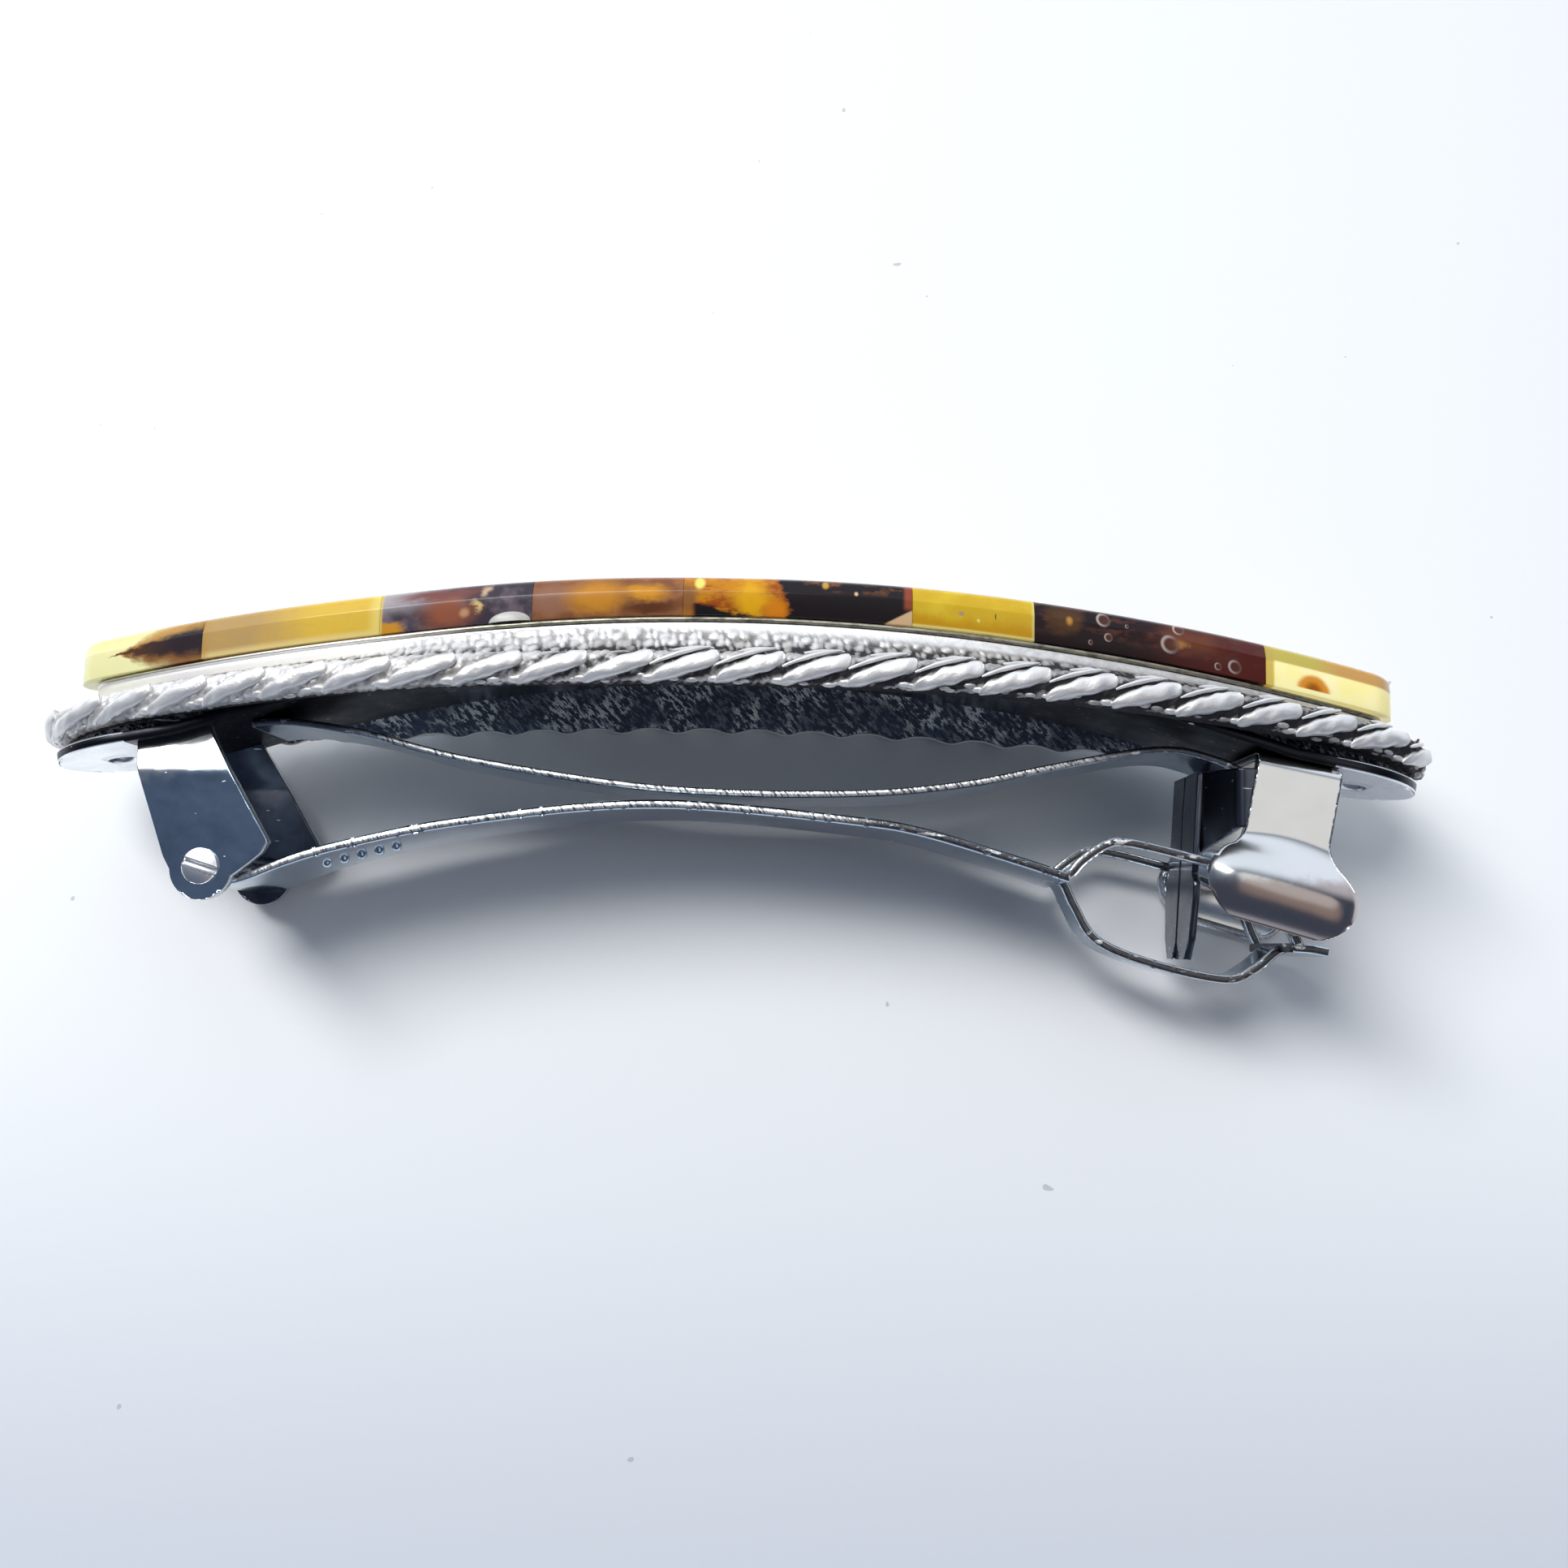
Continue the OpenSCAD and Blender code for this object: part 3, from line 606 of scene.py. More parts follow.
def amber_tile(number, finish, colour):
    """The tile with its ground profile all along it, and the colour wired to its finish."""
    wire(finish, Base_Color=colour)
    x0, x1 = TILE_ENDS[number - 1] + TILE_GAP / 2, TILE_ENDS[number] - TILE_GAP / 2
    steps = np.linspace(0, 1, int((x1 - x0) / 0.12))
    # the cuts crowd towards the ends of the bar, where its corners are round
    steps = steps**1.6 if number == 1 else 1 - steps[::-1]**1.6 if number == 8 else steps
    x = x0 + (x1 - x0) * steps
    half_w, low, top = amber_half(x), amber_low(x), amber_top(x)
    bevel = np.minimum(BEVEL_W, 0.6 * half_w)
    rounded = 1 - sag(END_ROUND, np.clip(END_ROUND - to_bar_end(x), 0, END_ROUND)) / END_T
    ring = [(1, b, h) for b, h in TILE_SIDE] + [(1 - k / 5, 1.0, 1.0) for k in range(1, 10)]
    ring += [(-1, b, h) for b, h in reversed(TILE_SIDE)]
    rows, marks = [], []
    for side, b, h in ring:
        z = side * (half_w - bevel * b)
        rows.append(xyz(x, low + (top - low) * np.minimum(h, rounded), z))
        marks.append(xyz(steps, h, z))
    n = len(ring)
    faces = grid(len(x), n, tube=True).tolist()
    points = np.stack(rows, 1).reshape(-1, 3)
    spots = np.stack(marks, 1).reshape(-1, 3)
    for first, flip in ((0, False), (len(points) - n, True)):
        start, mid = len(points), len(points) + n // 2
        points = np.concatenate([points, points[first:first + n]])
        spots = np.concatenate([spots, spots[first:first + n]])
        lid = [[start + k, start + k + 1, start + n - 2 - k, start + n - 1 - k] for k in range(n // 2 - 1)]
        lid.append([mid - 1, mid, mid + 1])
        faces += lid if flip else [face[::-1] for face in lid]
    tile = new_piece("tile_%d" % number, points, faces, [finish], ["amber_%d" % number],
                     marks={"spot": spots})
    tile.modifiers.new("even_shine", "WEIGHTED_NORMAL").weight = 90


def moved(value, by, amount):
    """The value pushed about by the noise."""
    return calc("MULTIPLY_ADD", calc("SUBTRACT", by, 0.5), amount, value)


def patch(u, v, at_u, at_v, half_u, half_v, soft):
    """1 inside an oval spot and 0 outside, with a soft edge, and how far it is to the spot's middle."""
    du = calc("DIVIDE", calc("SUBTRACT", u, at_u), half_u)
    dv = calc("DIVIDE", calc("SUBTRACT", v, at_v), half_v)
    far = calc("SQRT", calc("ADD", times(du, du), times(dv, dv)))
    return step_up(far, 1 + soft, 1 - soft), far


def stained(colour, u, v, *spots):
    """Lays soft oval spots over the colour: each has its place, half sizes, softness and own colour."""
    for *oval, tone in spots:
        colour = mixed(patch(u, v, *oval)[0], colour, tone)
    return colour


# tile 1: lemon, with a dark splinter of bark that runs to a point
made, u, v, cloud, swirl = amber_finish("lemon_amber_with_bark", 0.35, 0.9)
u2, v2 = moved(u, cloud, 0.15), moved(v, swirl, 0.35)
thick = step_up(u2, 0.25, 1.0, 0.001, 0.36)
reach = calc("DIVIDE", calc("ABSOLUTE", calc("SUBTRACT", v2, 0.46)), thick)
lemon = mixed(step_up(v, 0.55, 0.9), (0.90, 0.87, 0.46), (0.86, 0.80, 0.38))
halo = mixed(step_up(v, 0.25, 0.7), (0.28, 0.13, 0.045), (0.52, 0.29, 0.08))
bark = mixed(step_up(u, 0.4, 0.85), (0.10, 0.05, 0.03), (0.035, 0.026, 0.032))
begun = step_up(u2, 0.22, 0.32)
lemon = mixed(times(begun, step_up(reach, 3.2, 1.2)), lemon, halo)
amber_tile(1, made, mixed(times(begun, step_up(reach, 1.35, 0.6)), lemon, bark))

# tile 2: honey, tan at the left and golden at the right, paler along its edges
made, u, v, cloud, swirl = amber_finish("honey_amber", 0.35, 0.9)
honey = mixed(step_up(moved(u, cloud, 0.25), 0.25, 0.7), (0.50, 0.33, 0.13), (0.74, 0.50, 0.07))
honey = mixed(times(step_up(swirl, 0.55, 0.75), 0.35), honey, (0.62, 0.36, 0.07))
honey = mixed(step_up(v, 0.2, 0.04, 0.0, 0.7), honey, (0.82, 0.66, 0.30))
honey = mixed(step_up(u, 0.92, 0.99, 0.0, 0.8), honey, (0.86, 0.68, 0.20))
amber_tile(2, made, mixed(step_up(u, 0.06, 0.0, 0.0, 0.6), honey, (0.52, 0.28, 0.07)))

# tile 3: nearly black violet brown with a reddish cloud, two flakes of gold, and a painted grey reflection
# over its upper left
made, u, v, cloud, swirl = amber_finish("violet_brown_amber", 0.1, 0.5)
u2, v2 = moved(u, swirl, 0.15), moved(v, swirl, 0.3)
violet = mixed(step_up(cloud, 0.42, 0.62), (0.055, 0.045, 0.06), (0.17, 0.13, 0.16))
# the grey over its upper left is a painted reflection
violet = mixed(times(step_up(u2, 0.6, 0.0), step_up(v, 0.3, 0.8)), violet, (0.44, 0.40, 0.42))
violet = stained(violet, u2, v2,
                 (0.45, 0.35, 0.16, 0.40, 0.6, (0.30, 0.10, 0.055)),
                 (0.40, 0.80, 0.25, 0.12, 0.6, (0.22, 0.08, 0.07)),
                 (0.63, 0.42, 0.02, 0.16, 0.7, (0.72, 0.52, 0.22)),
                 (0.69, 0.78, 0.03, 0.10, 0.8, (0.60, 0.42, 0.30)))
violet = stained(violet, u, v, (0.56, 0.3, 0.03, 0.1, 0.6, (0.55, 0.30, 0.16)))
violet = stained(violet, u2, v2, (0.02, 0.05, 0.13, 0.2, 0.3, (0.60, 0.28, 0.03)))
amber_tile(3, made, mixed(step_up(u, 0.025, 0.0), violet, (0.75, 0.55, 0.14)))

# tile 4: cognac, red brown at the left, with two orange glows
made, u, v, cloud, swirl = amber_finish("cognac_amber", 0.25, 0.7)
cognac = mixed(step_up(swirl, 0.4, 0.65), (0.24, 0.095, 0.04), (0.36, 0.15, 0.06))
cognac = stained(cognac, moved(u, cloud, 0.2), moved(v, swirl, 0.4),
                 (0.13, 0.45, 0.16, 0.35, 0.6, (0.33, 0.16, 0.10)),
                 (0.42, 0.48, 0.17, 0.36, 0.6, (0.62, 0.27, 0.03)),
                 (0.74, 0.56, 0.13, 0.18, 0.6, (0.72, 0.32, 0.02)),
                 (0.76, 0.20, 0.16, 0.14, 0.6, (0.13, 0.045, 0.02)))
amber_tile(4, made, cognac)

# tile 5: an orange and yellow swirl that sinks into black, with a peach corner at the right
made, u, v, cloud, swirl = amber_finish("flame_amber", 0.25, 0.7)
u2, v2 = moved(u, cloud, 0.12), moved(v, swirl, 0.45)
flame = mixed(step_up(swirl, 0.42, 0.62), (0.36, 0.08, 0.012), (0.62, 0.25, 0.012))
flame = stained(flame, u2, v2,
                (0.30, 0.42, 0.07, 0.55, 0.6, (0.80, 0.42, 0.012)),
                (0.40, 0.18, 0.05, 0.22, 0.5, (0.72, 0.24, 0.012)),
                (0.02, 0.45, 0.05, 0.40, 0.5, (0.30, 0.13, 0.04)))
flame = stained(flame, u, v, (0.07, 0.80, 0.022, 0.15, 0.4, (0.92, 0.82, 0.20)))
soot = step_up(calc("MULTIPLY_ADD", v, 0.06, moved(u, swirl, 0.16)), 0.455, 0.485)
foot = step_up(calc("MULTIPLY_ADD", u, 0.9, v2), 0.34, 0.24)
soot = calc("MAXIMUM", soot, times(foot, step_up(u, 0.03, 0.06)))
flame = mixed(soot, flame, (0.016, 0.012, 0.014))
high = times(step_up(v, 0.6, 0.8), step_up(swirl, 0.48, 0.64))
flame = mixed(times(high, step_up(u, 0.5, 0.56)), flame, (0.20, 0.075, 0.03))
flame = stained(flame, u, v,
                (0.620, 0.84, 0.014, 0.09, 0.5, (0.60, 0.36, 0.06)),
                (0.755, 0.66, 0.008, 0.05, 0.5, (0.75, 0.52, 0.30)))
peach = step_up(calc("SUBTRACT", calc("MULTIPLY_ADD", u, 3.2, -2.83), v), -0.03, 0.03)
flame = mixed(peach, flame, (0.72, 0.50, 0.28))
rust = times(step_up(u, 0.955, 0.975), step_up(v, 0.3, 0.45))
amber_tile(5, made, mixed(rust, flame, (0.30, 0.07, 0.03)))

# tile 6: opaque butter yellow, paler along its edges, with a few tiny marks
made, u, v, cloud, swirl = amber_finish("butter_amber", 0.3, 0.8)
butter = mixed(step_up(cloud, 0.35, 0.65), (0.66, 0.43, 0.022), (0.74, 0.53, 0.035))
butter = mixed(step_up(moved(v, cloud, 0.4), 0.45, 0.1), butter, (0.62, 0.33, 0.012))
butter = mixed(step_up(v, 0.09, 0.03), butter, (0.84, 0.70, 0.24))
butter = mixed(step_up(u, 0.97, 0.99, 0.0, 0.6), butter, (0.85, 0.72, 0.28))
butter = stained(butter, u, v,
                 (0.40, 0.42, 0.022, 0.05, 0.5, (0.42, 0.31, 0.20)),
                 (0.68, 0.45, 0.006, 0.07, 0.4, (0.16, 0.10, 0.03)),
                 (0.54, 0.30, 0.012, 0.04, 0.4, (0.85, 0.70, 0.22)))
amber_tile(6, made, butter)

# tile 7: oxblood, almost black at the left, redder at the right, with air bubbles; each bubble is a tinted
# middle in a painted highlight ring that is brighter on its left, and has its place and half sizes in the
# list
BUBBLES = [(0.29, 0.76, 0.030, 0.17), (0.575, 0.46, 0.040, 0.21), (0.615, 0.86, 0.026, 0.13),
           (0.785, 0.17, 0.016, 0.09), (0.86, 0.24, 0.030, 0.16), (0.31, 0.36, 0.018, 0.10),
           (0.235, 0.18, 0.010, 0.06), (0.39, 0.7, 0.008, 0.05)]
made, u, v, cloud, swirl = amber_finish("oxblood_amber", 0.12, 0.6)
u2, v2 = moved(u, cloud, 0.2), moved(v, swirl, 0.4)
oxblood = mixed(step_up(u2, 0.35, 0.9), (0.014, 0.006, 0.008), (0.10, 0.018, 0.014))
blood = times(step_up(swirl, 0.48, 0.68), step_up(v, 0.1, 0.6))
oxblood = mixed(blood, oxblood, (0.10, 0.030, 0.022))
oxblood = stained(oxblood, u2, v2,
                  (0.66, 0.62, 0.12, 0.25, 0.7, (0.16, 0.045, 0.022)),
                  (0.13, 0.62, 0.05, 0.30, 0.7, (0.09, 0.04, 0.014)))
oxblood = stained(oxblood, u, v, (0.145, 0.6, 0.012, 0.09, 0.7, (0.52, 0.26, 0.05)))
oxblood = stained(oxblood, u2, v, (0.625, 0.5, 0.022, 0.09, 0.7, (0.40, 0.18, 0.05)))
for at_u, at_v, half_u, half_v in BUBBLES:
    full, far = patch(u, v, at_u, at_v, half_u, half_v, 0.12)
    # each bubble's ring is a painted highlight, brighter on its left side
    ring = times(full, step_up(far, 0.55, 0.85))
    side = step_up(calc("SUBTRACT", u, at_u), half_u * 0.9, -half_u, 0.12, 1.0)
    oxblood = mixed(times(full, 0.7), oxblood, (0.10, 0.035, 0.025))
    oxblood = mixed(times(ring, side), oxblood, (0.50, 0.42, 0.38))
amber_tile(7, made, oxblood)

# tile 8: pale lemon with a painted glow behind its flat side, ochre in the bevel, with one orange half moon
made, u, v, cloud, swirl = amber_finish("pale_lemon_amber", 0.35, 0.9)
ochre = mixed(step_up(u, 0.3, 0.6), (0.60, 0.50, 0.10), (0.66, 0.36, 0.10))
pale = mixed(step_up(cloud, 0.3, 0.7), (0.97, 0.86, 0.36), (0.98, 0.90, 0.52))
pale = mixed(step_up(u, 0.75, 1.0), pale, (0.84, 0.74, 0.34))
pale = mixed(step_up(v, 0.585, 0.64), pale, ochre)
pale = mixed(step_up(u, 0.07, 0.045), pale, (0.62, 0.46, 0.10))
moon, far = patch(u, moved(v, swirl, 0.08), 0.345, 0.12, 0.12, 0.34, 0.2)
moon_tone = mixed(step_up(far, 0.2, 0.75), (0.32, 0.09, 0.01), (0.66, 0.27, 0.03))
pale = mixed(times(moon, step_up(v, 0.1, 0.14)), pale, moon_tone)
# the glow behind the flat side is painted in as emission
wire(made, Emission_Color=pale, Emission_Strength=step_up(v, 0.62, 0.56, 0.0, 0.32))
amber_tile(8, made, pale)

# The glue: clear two-part glue that holds the tiles on the table. It squeezed out below the third tile as
# a small bead, which set there whitish and was never wiped off.
DROP_X = -12.1
DROP_HALF = 1.15
DROP_H = 0.55
DROP_PROUD = 0.16
glue, place = new_finish("set_glue", 0.3, IOR=1.45)
wire(glue, Base_Color=mixed(speckle(place, 1.5), (0.40, 0.40, 0.36), (0.66, 0.66, 0.62)))
a = np.linspace(0, math.pi, 25)[:, None]
b = np.linspace(-math.pi / 2, math.pi / 2, 13)
x = DROP_X + DROP_HALF * np.cos(a)
y = amber_low(x) - 0.02 + DROP_H * np.sin(a) * np.cos(b)
z = amber_half(x) - 0.06 + DROP_PROUD * np.sin(a) * (1 + np.sin(b))
new_piece("glue_bead", xyz(x, y, z), grid(25, 13), [glue])

# The clip's strip: spring steel sheet, nickel plated, curved to the plate's back and soldered there. Its
# ends are flat tabs with a sewing hole, and two ears bent down from it hold the hinge pin.
STRIP_LEN = 78.4
STRIP_W = 10
STRIP_T = 0.6
STRIP_Y = 5.55
STRIP_R = 96
TAB_X = 31
TAB_A = math.radians(11)
HOLE_X = 36
HOLE_R = 0.8


def steel_finish(name, colour, roughness, stain, wavy):
    """Nickel plate over sheet steel: smooth, a little wavy, with hairline scratches and dull spots."""
    made, place = new_finish(name, roughness, Metallic=1.0)
    dull = speckle(place, 0.45, 4.0, 0.6)
    scratch = step_up(speckle(place, 1.6, 1.0, 0.5, (0.5, 3.0, 3.0)), 0.735, 0.76)
    tone = mixed(step_up(dull, 0.35, 0.7), colour, stain)
    wire(made, Base_Color=mixed(times(scratch, 0.8), tone, (0.9, 0.9, 0.92)),
         Roughness=step_up(dull, 0.3, 0.8, roughness * 0.9, roughness * 1.3))
    bump(made, speckle(place, 0.25, 2.0), wavy)
    return made


def strip_low(x):
    """The height of the strip's underside: an arc, then a straight tab at each end."""
    a = np.abs(x)
    return np.where(a < TAB_X, STRIP_Y - sag(STRIP_R, np.minimum(a, TAB_X)),
                    STRIP_Y - sag(STRIP_R, TAB_X) - (a - TAB_X) * math.tan(TAB_A))


def sheet_piece(name, surface, thick, finishes, stands_for, body="barrette", round_by=0.06):
    """A piece of bent sheet about its middle surface, its long edges rounded. The first finish is for its
    faces, the second one for its cut edges."""
    rows, cols = surface.shape[:2]
    du, dv = np.gradient(surface, axis=0), np.gradient(surface, axis=1)
    up = np.cross(du, dv)
    up *= thick / 2 / np.linalg.norm(up, axis=-1, keepdims=True)
    side = dv * round_by / np.linalg.norm(dv, axis=-1, keepdims=True)
    pulled = surface.copy()
    pulled[:, 0] += side[:, 0]
    pulled[:, -1] -= side[:, -1]
    first, last = surface[:, :1], surface[:, -1:]
    low = 1 - 2 * round_by / thick
    ring = np.concatenate([pulled + up, last + up[:, -1:] * low, last - up[:, -1:] * low,
                           (pulled - up)[:, ::-1], first - up[:, :1] * low, first + up[:, :1] * low], 1)
    n = ring.shape[1]
    faces = grid(rows, n, tube=True)
    cut = np.isin(faces[:, 0] % n, [cols, 2 * cols + 2]).astype(int).tolist()
    faces = faces.tolist()
    for row, flip in ((0, False), (rows - 1, True)):
        loop = [row * n + k for k in range(n)]
        quads = [[loop[k], loop[k + 1], loop[2 * cols - k], loop[2 * cols + 1 - k]] for k in range(cols - 1)]
        quads.append(loop[cols - 1:cols + 3])
        quads.append(loop[2 * cols + 1:] + loop[:1])
        faces += quads if flip else [quad[::-1] for quad in quads]
        cut += [1] * len(quads)
    piece = new_piece(name, ring, faces, finishes, stands_for, body, face_finish=cut)
    piece.modifiers.new("even_shine", "WEIGHTED_NORMAL").weight = 80
    return piece


steel = steel_finish("nickelled_steel", (0.60, 0.70, 0.80), 0.11, (0.50, 0.60, 0.70), 0.02)
# lit and shaded copies of the same nickel: painted light for the tabs, painted shade for the strip's middle,
# the far ear and the clasp's inner leaves and flaps
painted_light_tab_steel = steel_finish("tab_steel_painted_light", (0.95, 0.97, 1.0), 0.25, (0.84, 0.87, 0.9), 0.03)
painted_shade_steel = steel_finish("steel_painted_shade", (0.12, 0.13, 0.16), 0.2, (0.07, 0.08, 0.10), 0.04)
painted_deep_shade_steel = steel_finish("strip_steel_painted_deep_shade", (0.035, 0.037, 0.045), 0.35, (0.02, 0.02, 0.025), 0.04)


def edge_finish(name, left, right, tone, worn):
    """A sheared edge: bright, with fine slanted tears between two places along the barrette, worn beyond and
    dotted with painted glints.
    """
    made, place = new_finish(name, 0.34, Metallic=1.0)
    wires = {0: along_way(place, (5.5, 3.2, 0)), 1: along_way(place, (0, 1.1, 0.4))}
    torn = speckle(add(made.node_tree, "ShaderNodeCombineXYZ", wires).outputs[0], 1.0, 2.0, 0.6)
    along = split_up(place)[0]
    # small bright spots on the worn stretch: painted glints
    painted_glint = step_up(speckle(place, 1.1, 2.0, 0.6, (1.0, 2.0, 1.0)), 0.60, 0.66)
    strong = times(step_up(along, left - 3, left), step_up(along, right + 5, right))
    tears = times(step_up(torn, 0.52, 0.40), step_up(strong, 0.0, 1.0, 0.25, 0.9))
    tears = times(tears, step_up(along, -27, -17, 0.5, 1.0))
    base = mixed(strong, mixed(painted_glint, worn, tone), tone)
    wire(made, Base_Color=mixed(tears, base, (0.10, 0.10, 0.115)))
    bump(made, torn, 0.08, 0.6)
    return made


arm_edge = edge_finish("sheared_arm_edge", -40, 4, (0.95, 0.94, 0.92), (0.13, 0.125, 0.13))
bar_edge = edge_finish("sheared_bar_edge", -20, 19, (0.85, 0.86, 0.86), (0.14, 0.15, 0.18))
cut_edge = edge_finish("cut_sheet_edge", 50, 60, (0.7, 0.7, 0.7), (0.62, 0.63, 0.65))

TAB_ROUND_X = STRIP_LEN / 2 - STRIP_W / 2
tip = np.linspace(TAB_ROUND_X, STRIP_LEN / 2, 30)
tip[-1] -= 0.02
x = np.concatenate([-tip[::-1], np.arange(-33.7, 33.8, 0.5), tip])[:, None]
half_w = np.sqrt((STRIP_W / 2)**2 - np.maximum(0, np.abs(x) - TAB_ROUND_X)**2)
across = np.array([-1, -0.97, -0.8, -0.4, 0, 0.4, 0.8, 0.97, 1])
surface = xyz(x, strip_low(x) + STRIP_T / 2, half_w * across)
strip = sheet_piece("strip", surface, STRIP_T, [painted_light_tab_steel, painted_deep_shade_steel, painted_shade_steel], ["clip_strip"],
                    round_by=0.1)
# between its tabs the strip lies in the plate's shade, painted in as near black, and a little lighter
# underneath its middle; the tabs out in the light are painted lighter
SHADED_X = 33.5
SEEN_X = 17
for face in strip.data.polygons:
    from_middle = abs(face.center.x) / MM
    if from_middle < SHADED_X:
        face.material_index = 2 if face.normal.y < -0.5 and from_middle < SEEN_X else 1
# a hole for the sewing thread through each tab
for e in (-1, 1):
    bpy.ops.mesh.primitive_cylinder_add(vertices=48, radius=HOLE_R * MM, depth=5 * MM)
    punch = bpy.context.object
    low, high = in_place([(e * HOLE_X, 0, 0), (e * HOLE_X + e * math.sin(TAB_A), math.cos(TAB_A), 0)])
    way = high - low
    punch.location = in_place([(e * HOLE_X, float(strip_low(HOLE_X)) + 0.3, 0)])[0]
    punch.rotation_mode = "QUATERNION"
    punch.rotation_quaternion = Vector(way).to_track_quat("Z", "Y")
    bpy.context.view_layer.update()
    cutting = strip.modifiers.new("sewing_hole", "BOOLEAN")
    cutting.object = punch
    cutting.operation = "DIFFERENCE"
    cutting.solver = "EXACT"
    bpy.context.view_layer.objects.active = strip
    with bpy.context.temp_override(object=strip, active_object=strip):
        bpy.ops.object.modifier_apply(modifier="sewing_hole")
    bpy.data.objects.remove(punch, do_unlink=True)

# The ears: two flaps of the strip's own sheet, bent down over a small radius at the hinge. Each narrows to a
# round lobe, which is pierced for the hinge pin; a white band along the bend is a painted highlight.
EAR_TOP = 1.2
ROUND_R = 1.75
ROUND_Y = PIN_Y - 0.1
ear_steel, place = new_finish("bent_ear_steel", 0.13, Metallic=1.0)
along, up = split_up(place)[:2]
bent = moved(calc("MULTIPLY_ADD", along, -0.35, up), speckle(place, 1.2, 2.0), 1.6)
scratch = step_up(speckle(place, 2.2, 1.0, 0.5, (0.5, 2.2, 3.0)), 0.755, 0.775)
tone = mixed(step_up(speckle(place, 0.35, 4.0, 0.6), 0.4, 0.7), (0.62, 0.74, 0.86), (0.46, 0.56, 0.66))
# the white band near the bend: painted highlight
tone = mixed(step_up(bent, 8.6, 9.6), tone, (1.0, 0.99, 0.98))
wire(ear_steel, Base_Color=mixed(scratch, tone, (1.0, 1.0, 1.0)),
     Roughness=step_up(scratch, 0.0, 1.0, 0.13, 0.5))
bump(ear_steel, speckle(place, 0.4, 2.0), 0.07)
ear_y = np.concatenate([np.linspace(EAR_TOP, ROUND_Y, 60),
                        ROUND_Y - ROUND_R * np.sin(np.linspace(0.05, 1.53, 18))])
under = ear_y < ROUND_Y
round_half = np.sqrt(np.maximum(0, ROUND_R**2 - (ear_y - ROUND_Y)**2))
shoulder = np.interp(-ear_y, [6.9, 7.7, 8.75], [-26.55, -27.6, -28.75])
left_edge = np.interp(-ear_y, [-1.2, 1.5, 6.4, 7.1], [-33.5, -32.85, -31.05, PIN_X - ROUND_R])
left_edge = np.where(under, PIN_X - round_half, left_edge)
right_edge = np.interp(-ear_y, [-1.2, 5.45, 6.1, 6.7, 7.7], [-29.3, -25.25, -25.6, -26.3, -27.6])
right_edge = np.where(under, np.maximum(PIN_X + round_half, shoulder), right_edge)
bend_y = np.linspace(-1.8, EAR_TOP, 60)
bend_slope = np.interp(bend_y, [-1.8, -1.3, 0.2, EAR_TOP], [0, 0.32, 0.45, 0.9])
inward = np.interp(ear_y, bend_y, np.cumsum(bend_slope) * (bend_y[1] - bend_y[0]), left=0)
across = np.array([0, 0.02, 0.1, 0.3, 0.5, 0.7, 0.9, 0.98, 1])
x = left_edge[:, None] + (right_edge - left_edge)[:, None] * across
z = STRIP_W / 2 - STRIP_T / 2 - inward[:, None] * (1.2 - 0.6 * across**1.5)
# the far ear takes the dark steel of painted shade
for side, name, finish in ((1, "ear_near", ear_steel), (-1, "ear_far", painted_shade_steel)):
    sheet_piece(name, xyz(x, ear_y[:, None], side * z), STRIP_T, [finish, cut_edge], ["clip_strip"],
                round_by=0.05)

# The hinge pin: a steel rivet that goes through both ears and the arm's rolled knuckle. It has two low
# domed heads, and each head has a shallow slot across it.
PIN_R = 0.6
HEAD_R = 1.0
HEAD_T = 0.35
DOME_H = 0.2
SLOT_HALF = 0.17
SLOT_WALL = 0.02
SLOT_DEEP = 0.18
SLOT_A = math.radians(-17)
SEAT_Z = STRIP_W / 2 + 0.03
bright = steel_finish("bright_pin_steel", (0.90, 0.91, 0.93), 0.36, (0.78, 0.79, 0.82), 0.03)
# a head's points lie in rows along the slot, with two rows at each wall of the slot
beside = np.cos(np.linspace(0.12, 1.38, 10))
in_slot = np.array([-SLOT_HALF - SLOT_WALL, -SLOT_HALF, 0, SLOT_HALF, SLOT_HALF + SLOT_WALL])
v = HEAD_R * np.concatenate([-beside, in_slot, beside[::-1]])[:, None]
u = np.sqrt(HEAD_R**2 - v * v) * np.linspace(-1, 1, 25)
dome = HEAD_T - DOME_H * (u * u + v * v) / HEAD_R**2 - SLOT_DEEP * (np.abs(v) <= SLOT_HALF)
x = PIN_X + u * math.cos(SLOT_A) - v * math.sin(SLOT_A)
y = PIN_Y + u * math.sin(SLOT_A) + v * math.cos(SLOT_A)
top_faces = grid(*u.shape)
index = np.arange(u.size).reshape(u.shape)
rim_loop = np.concatenate([index[0], index[1:, -1], index[-1, -2::-1], index[-2:0:-1, 0]])
after = np.roll(rim_loop, -1)
wall_faces = np.stack([after, rim_loop, rim_loop + u.size, after + u.size], 1)
faces = np.concatenate([top_faces, top_faces[:, ::-1] + u.size, wall_faces])
for side, name in ((1, "pin_head_near"), (-1, "pin_head_far")):
    points = np.stack([xyz(x, y, side * (SEAT_Z + dome)), xyz(x, y, side * SEAT_Z)])
    head = new_piece(name, points, faces, [bright], ["hinge_pin"])
    head.modifiers.new("even_shine", "WEIGHTED_NORMAL").weight = 80
turns = np.linspace(0, 2 * math.pi, 40, endpoint=False)
stations = np.array([-SEAT_Z, -SEAT_Z + 0.05, 0, SEAT_Z - 0.05, SEAT_Z])
shank = xyz(PIN_X + PIN_R * np.cos(turns), PIN_Y + PIN_R * np.sin(turns), stations[:, None])
new_piece("pin_shank", shank, grid(5, 40, tube=True), [bright], ["hinge_pin"])

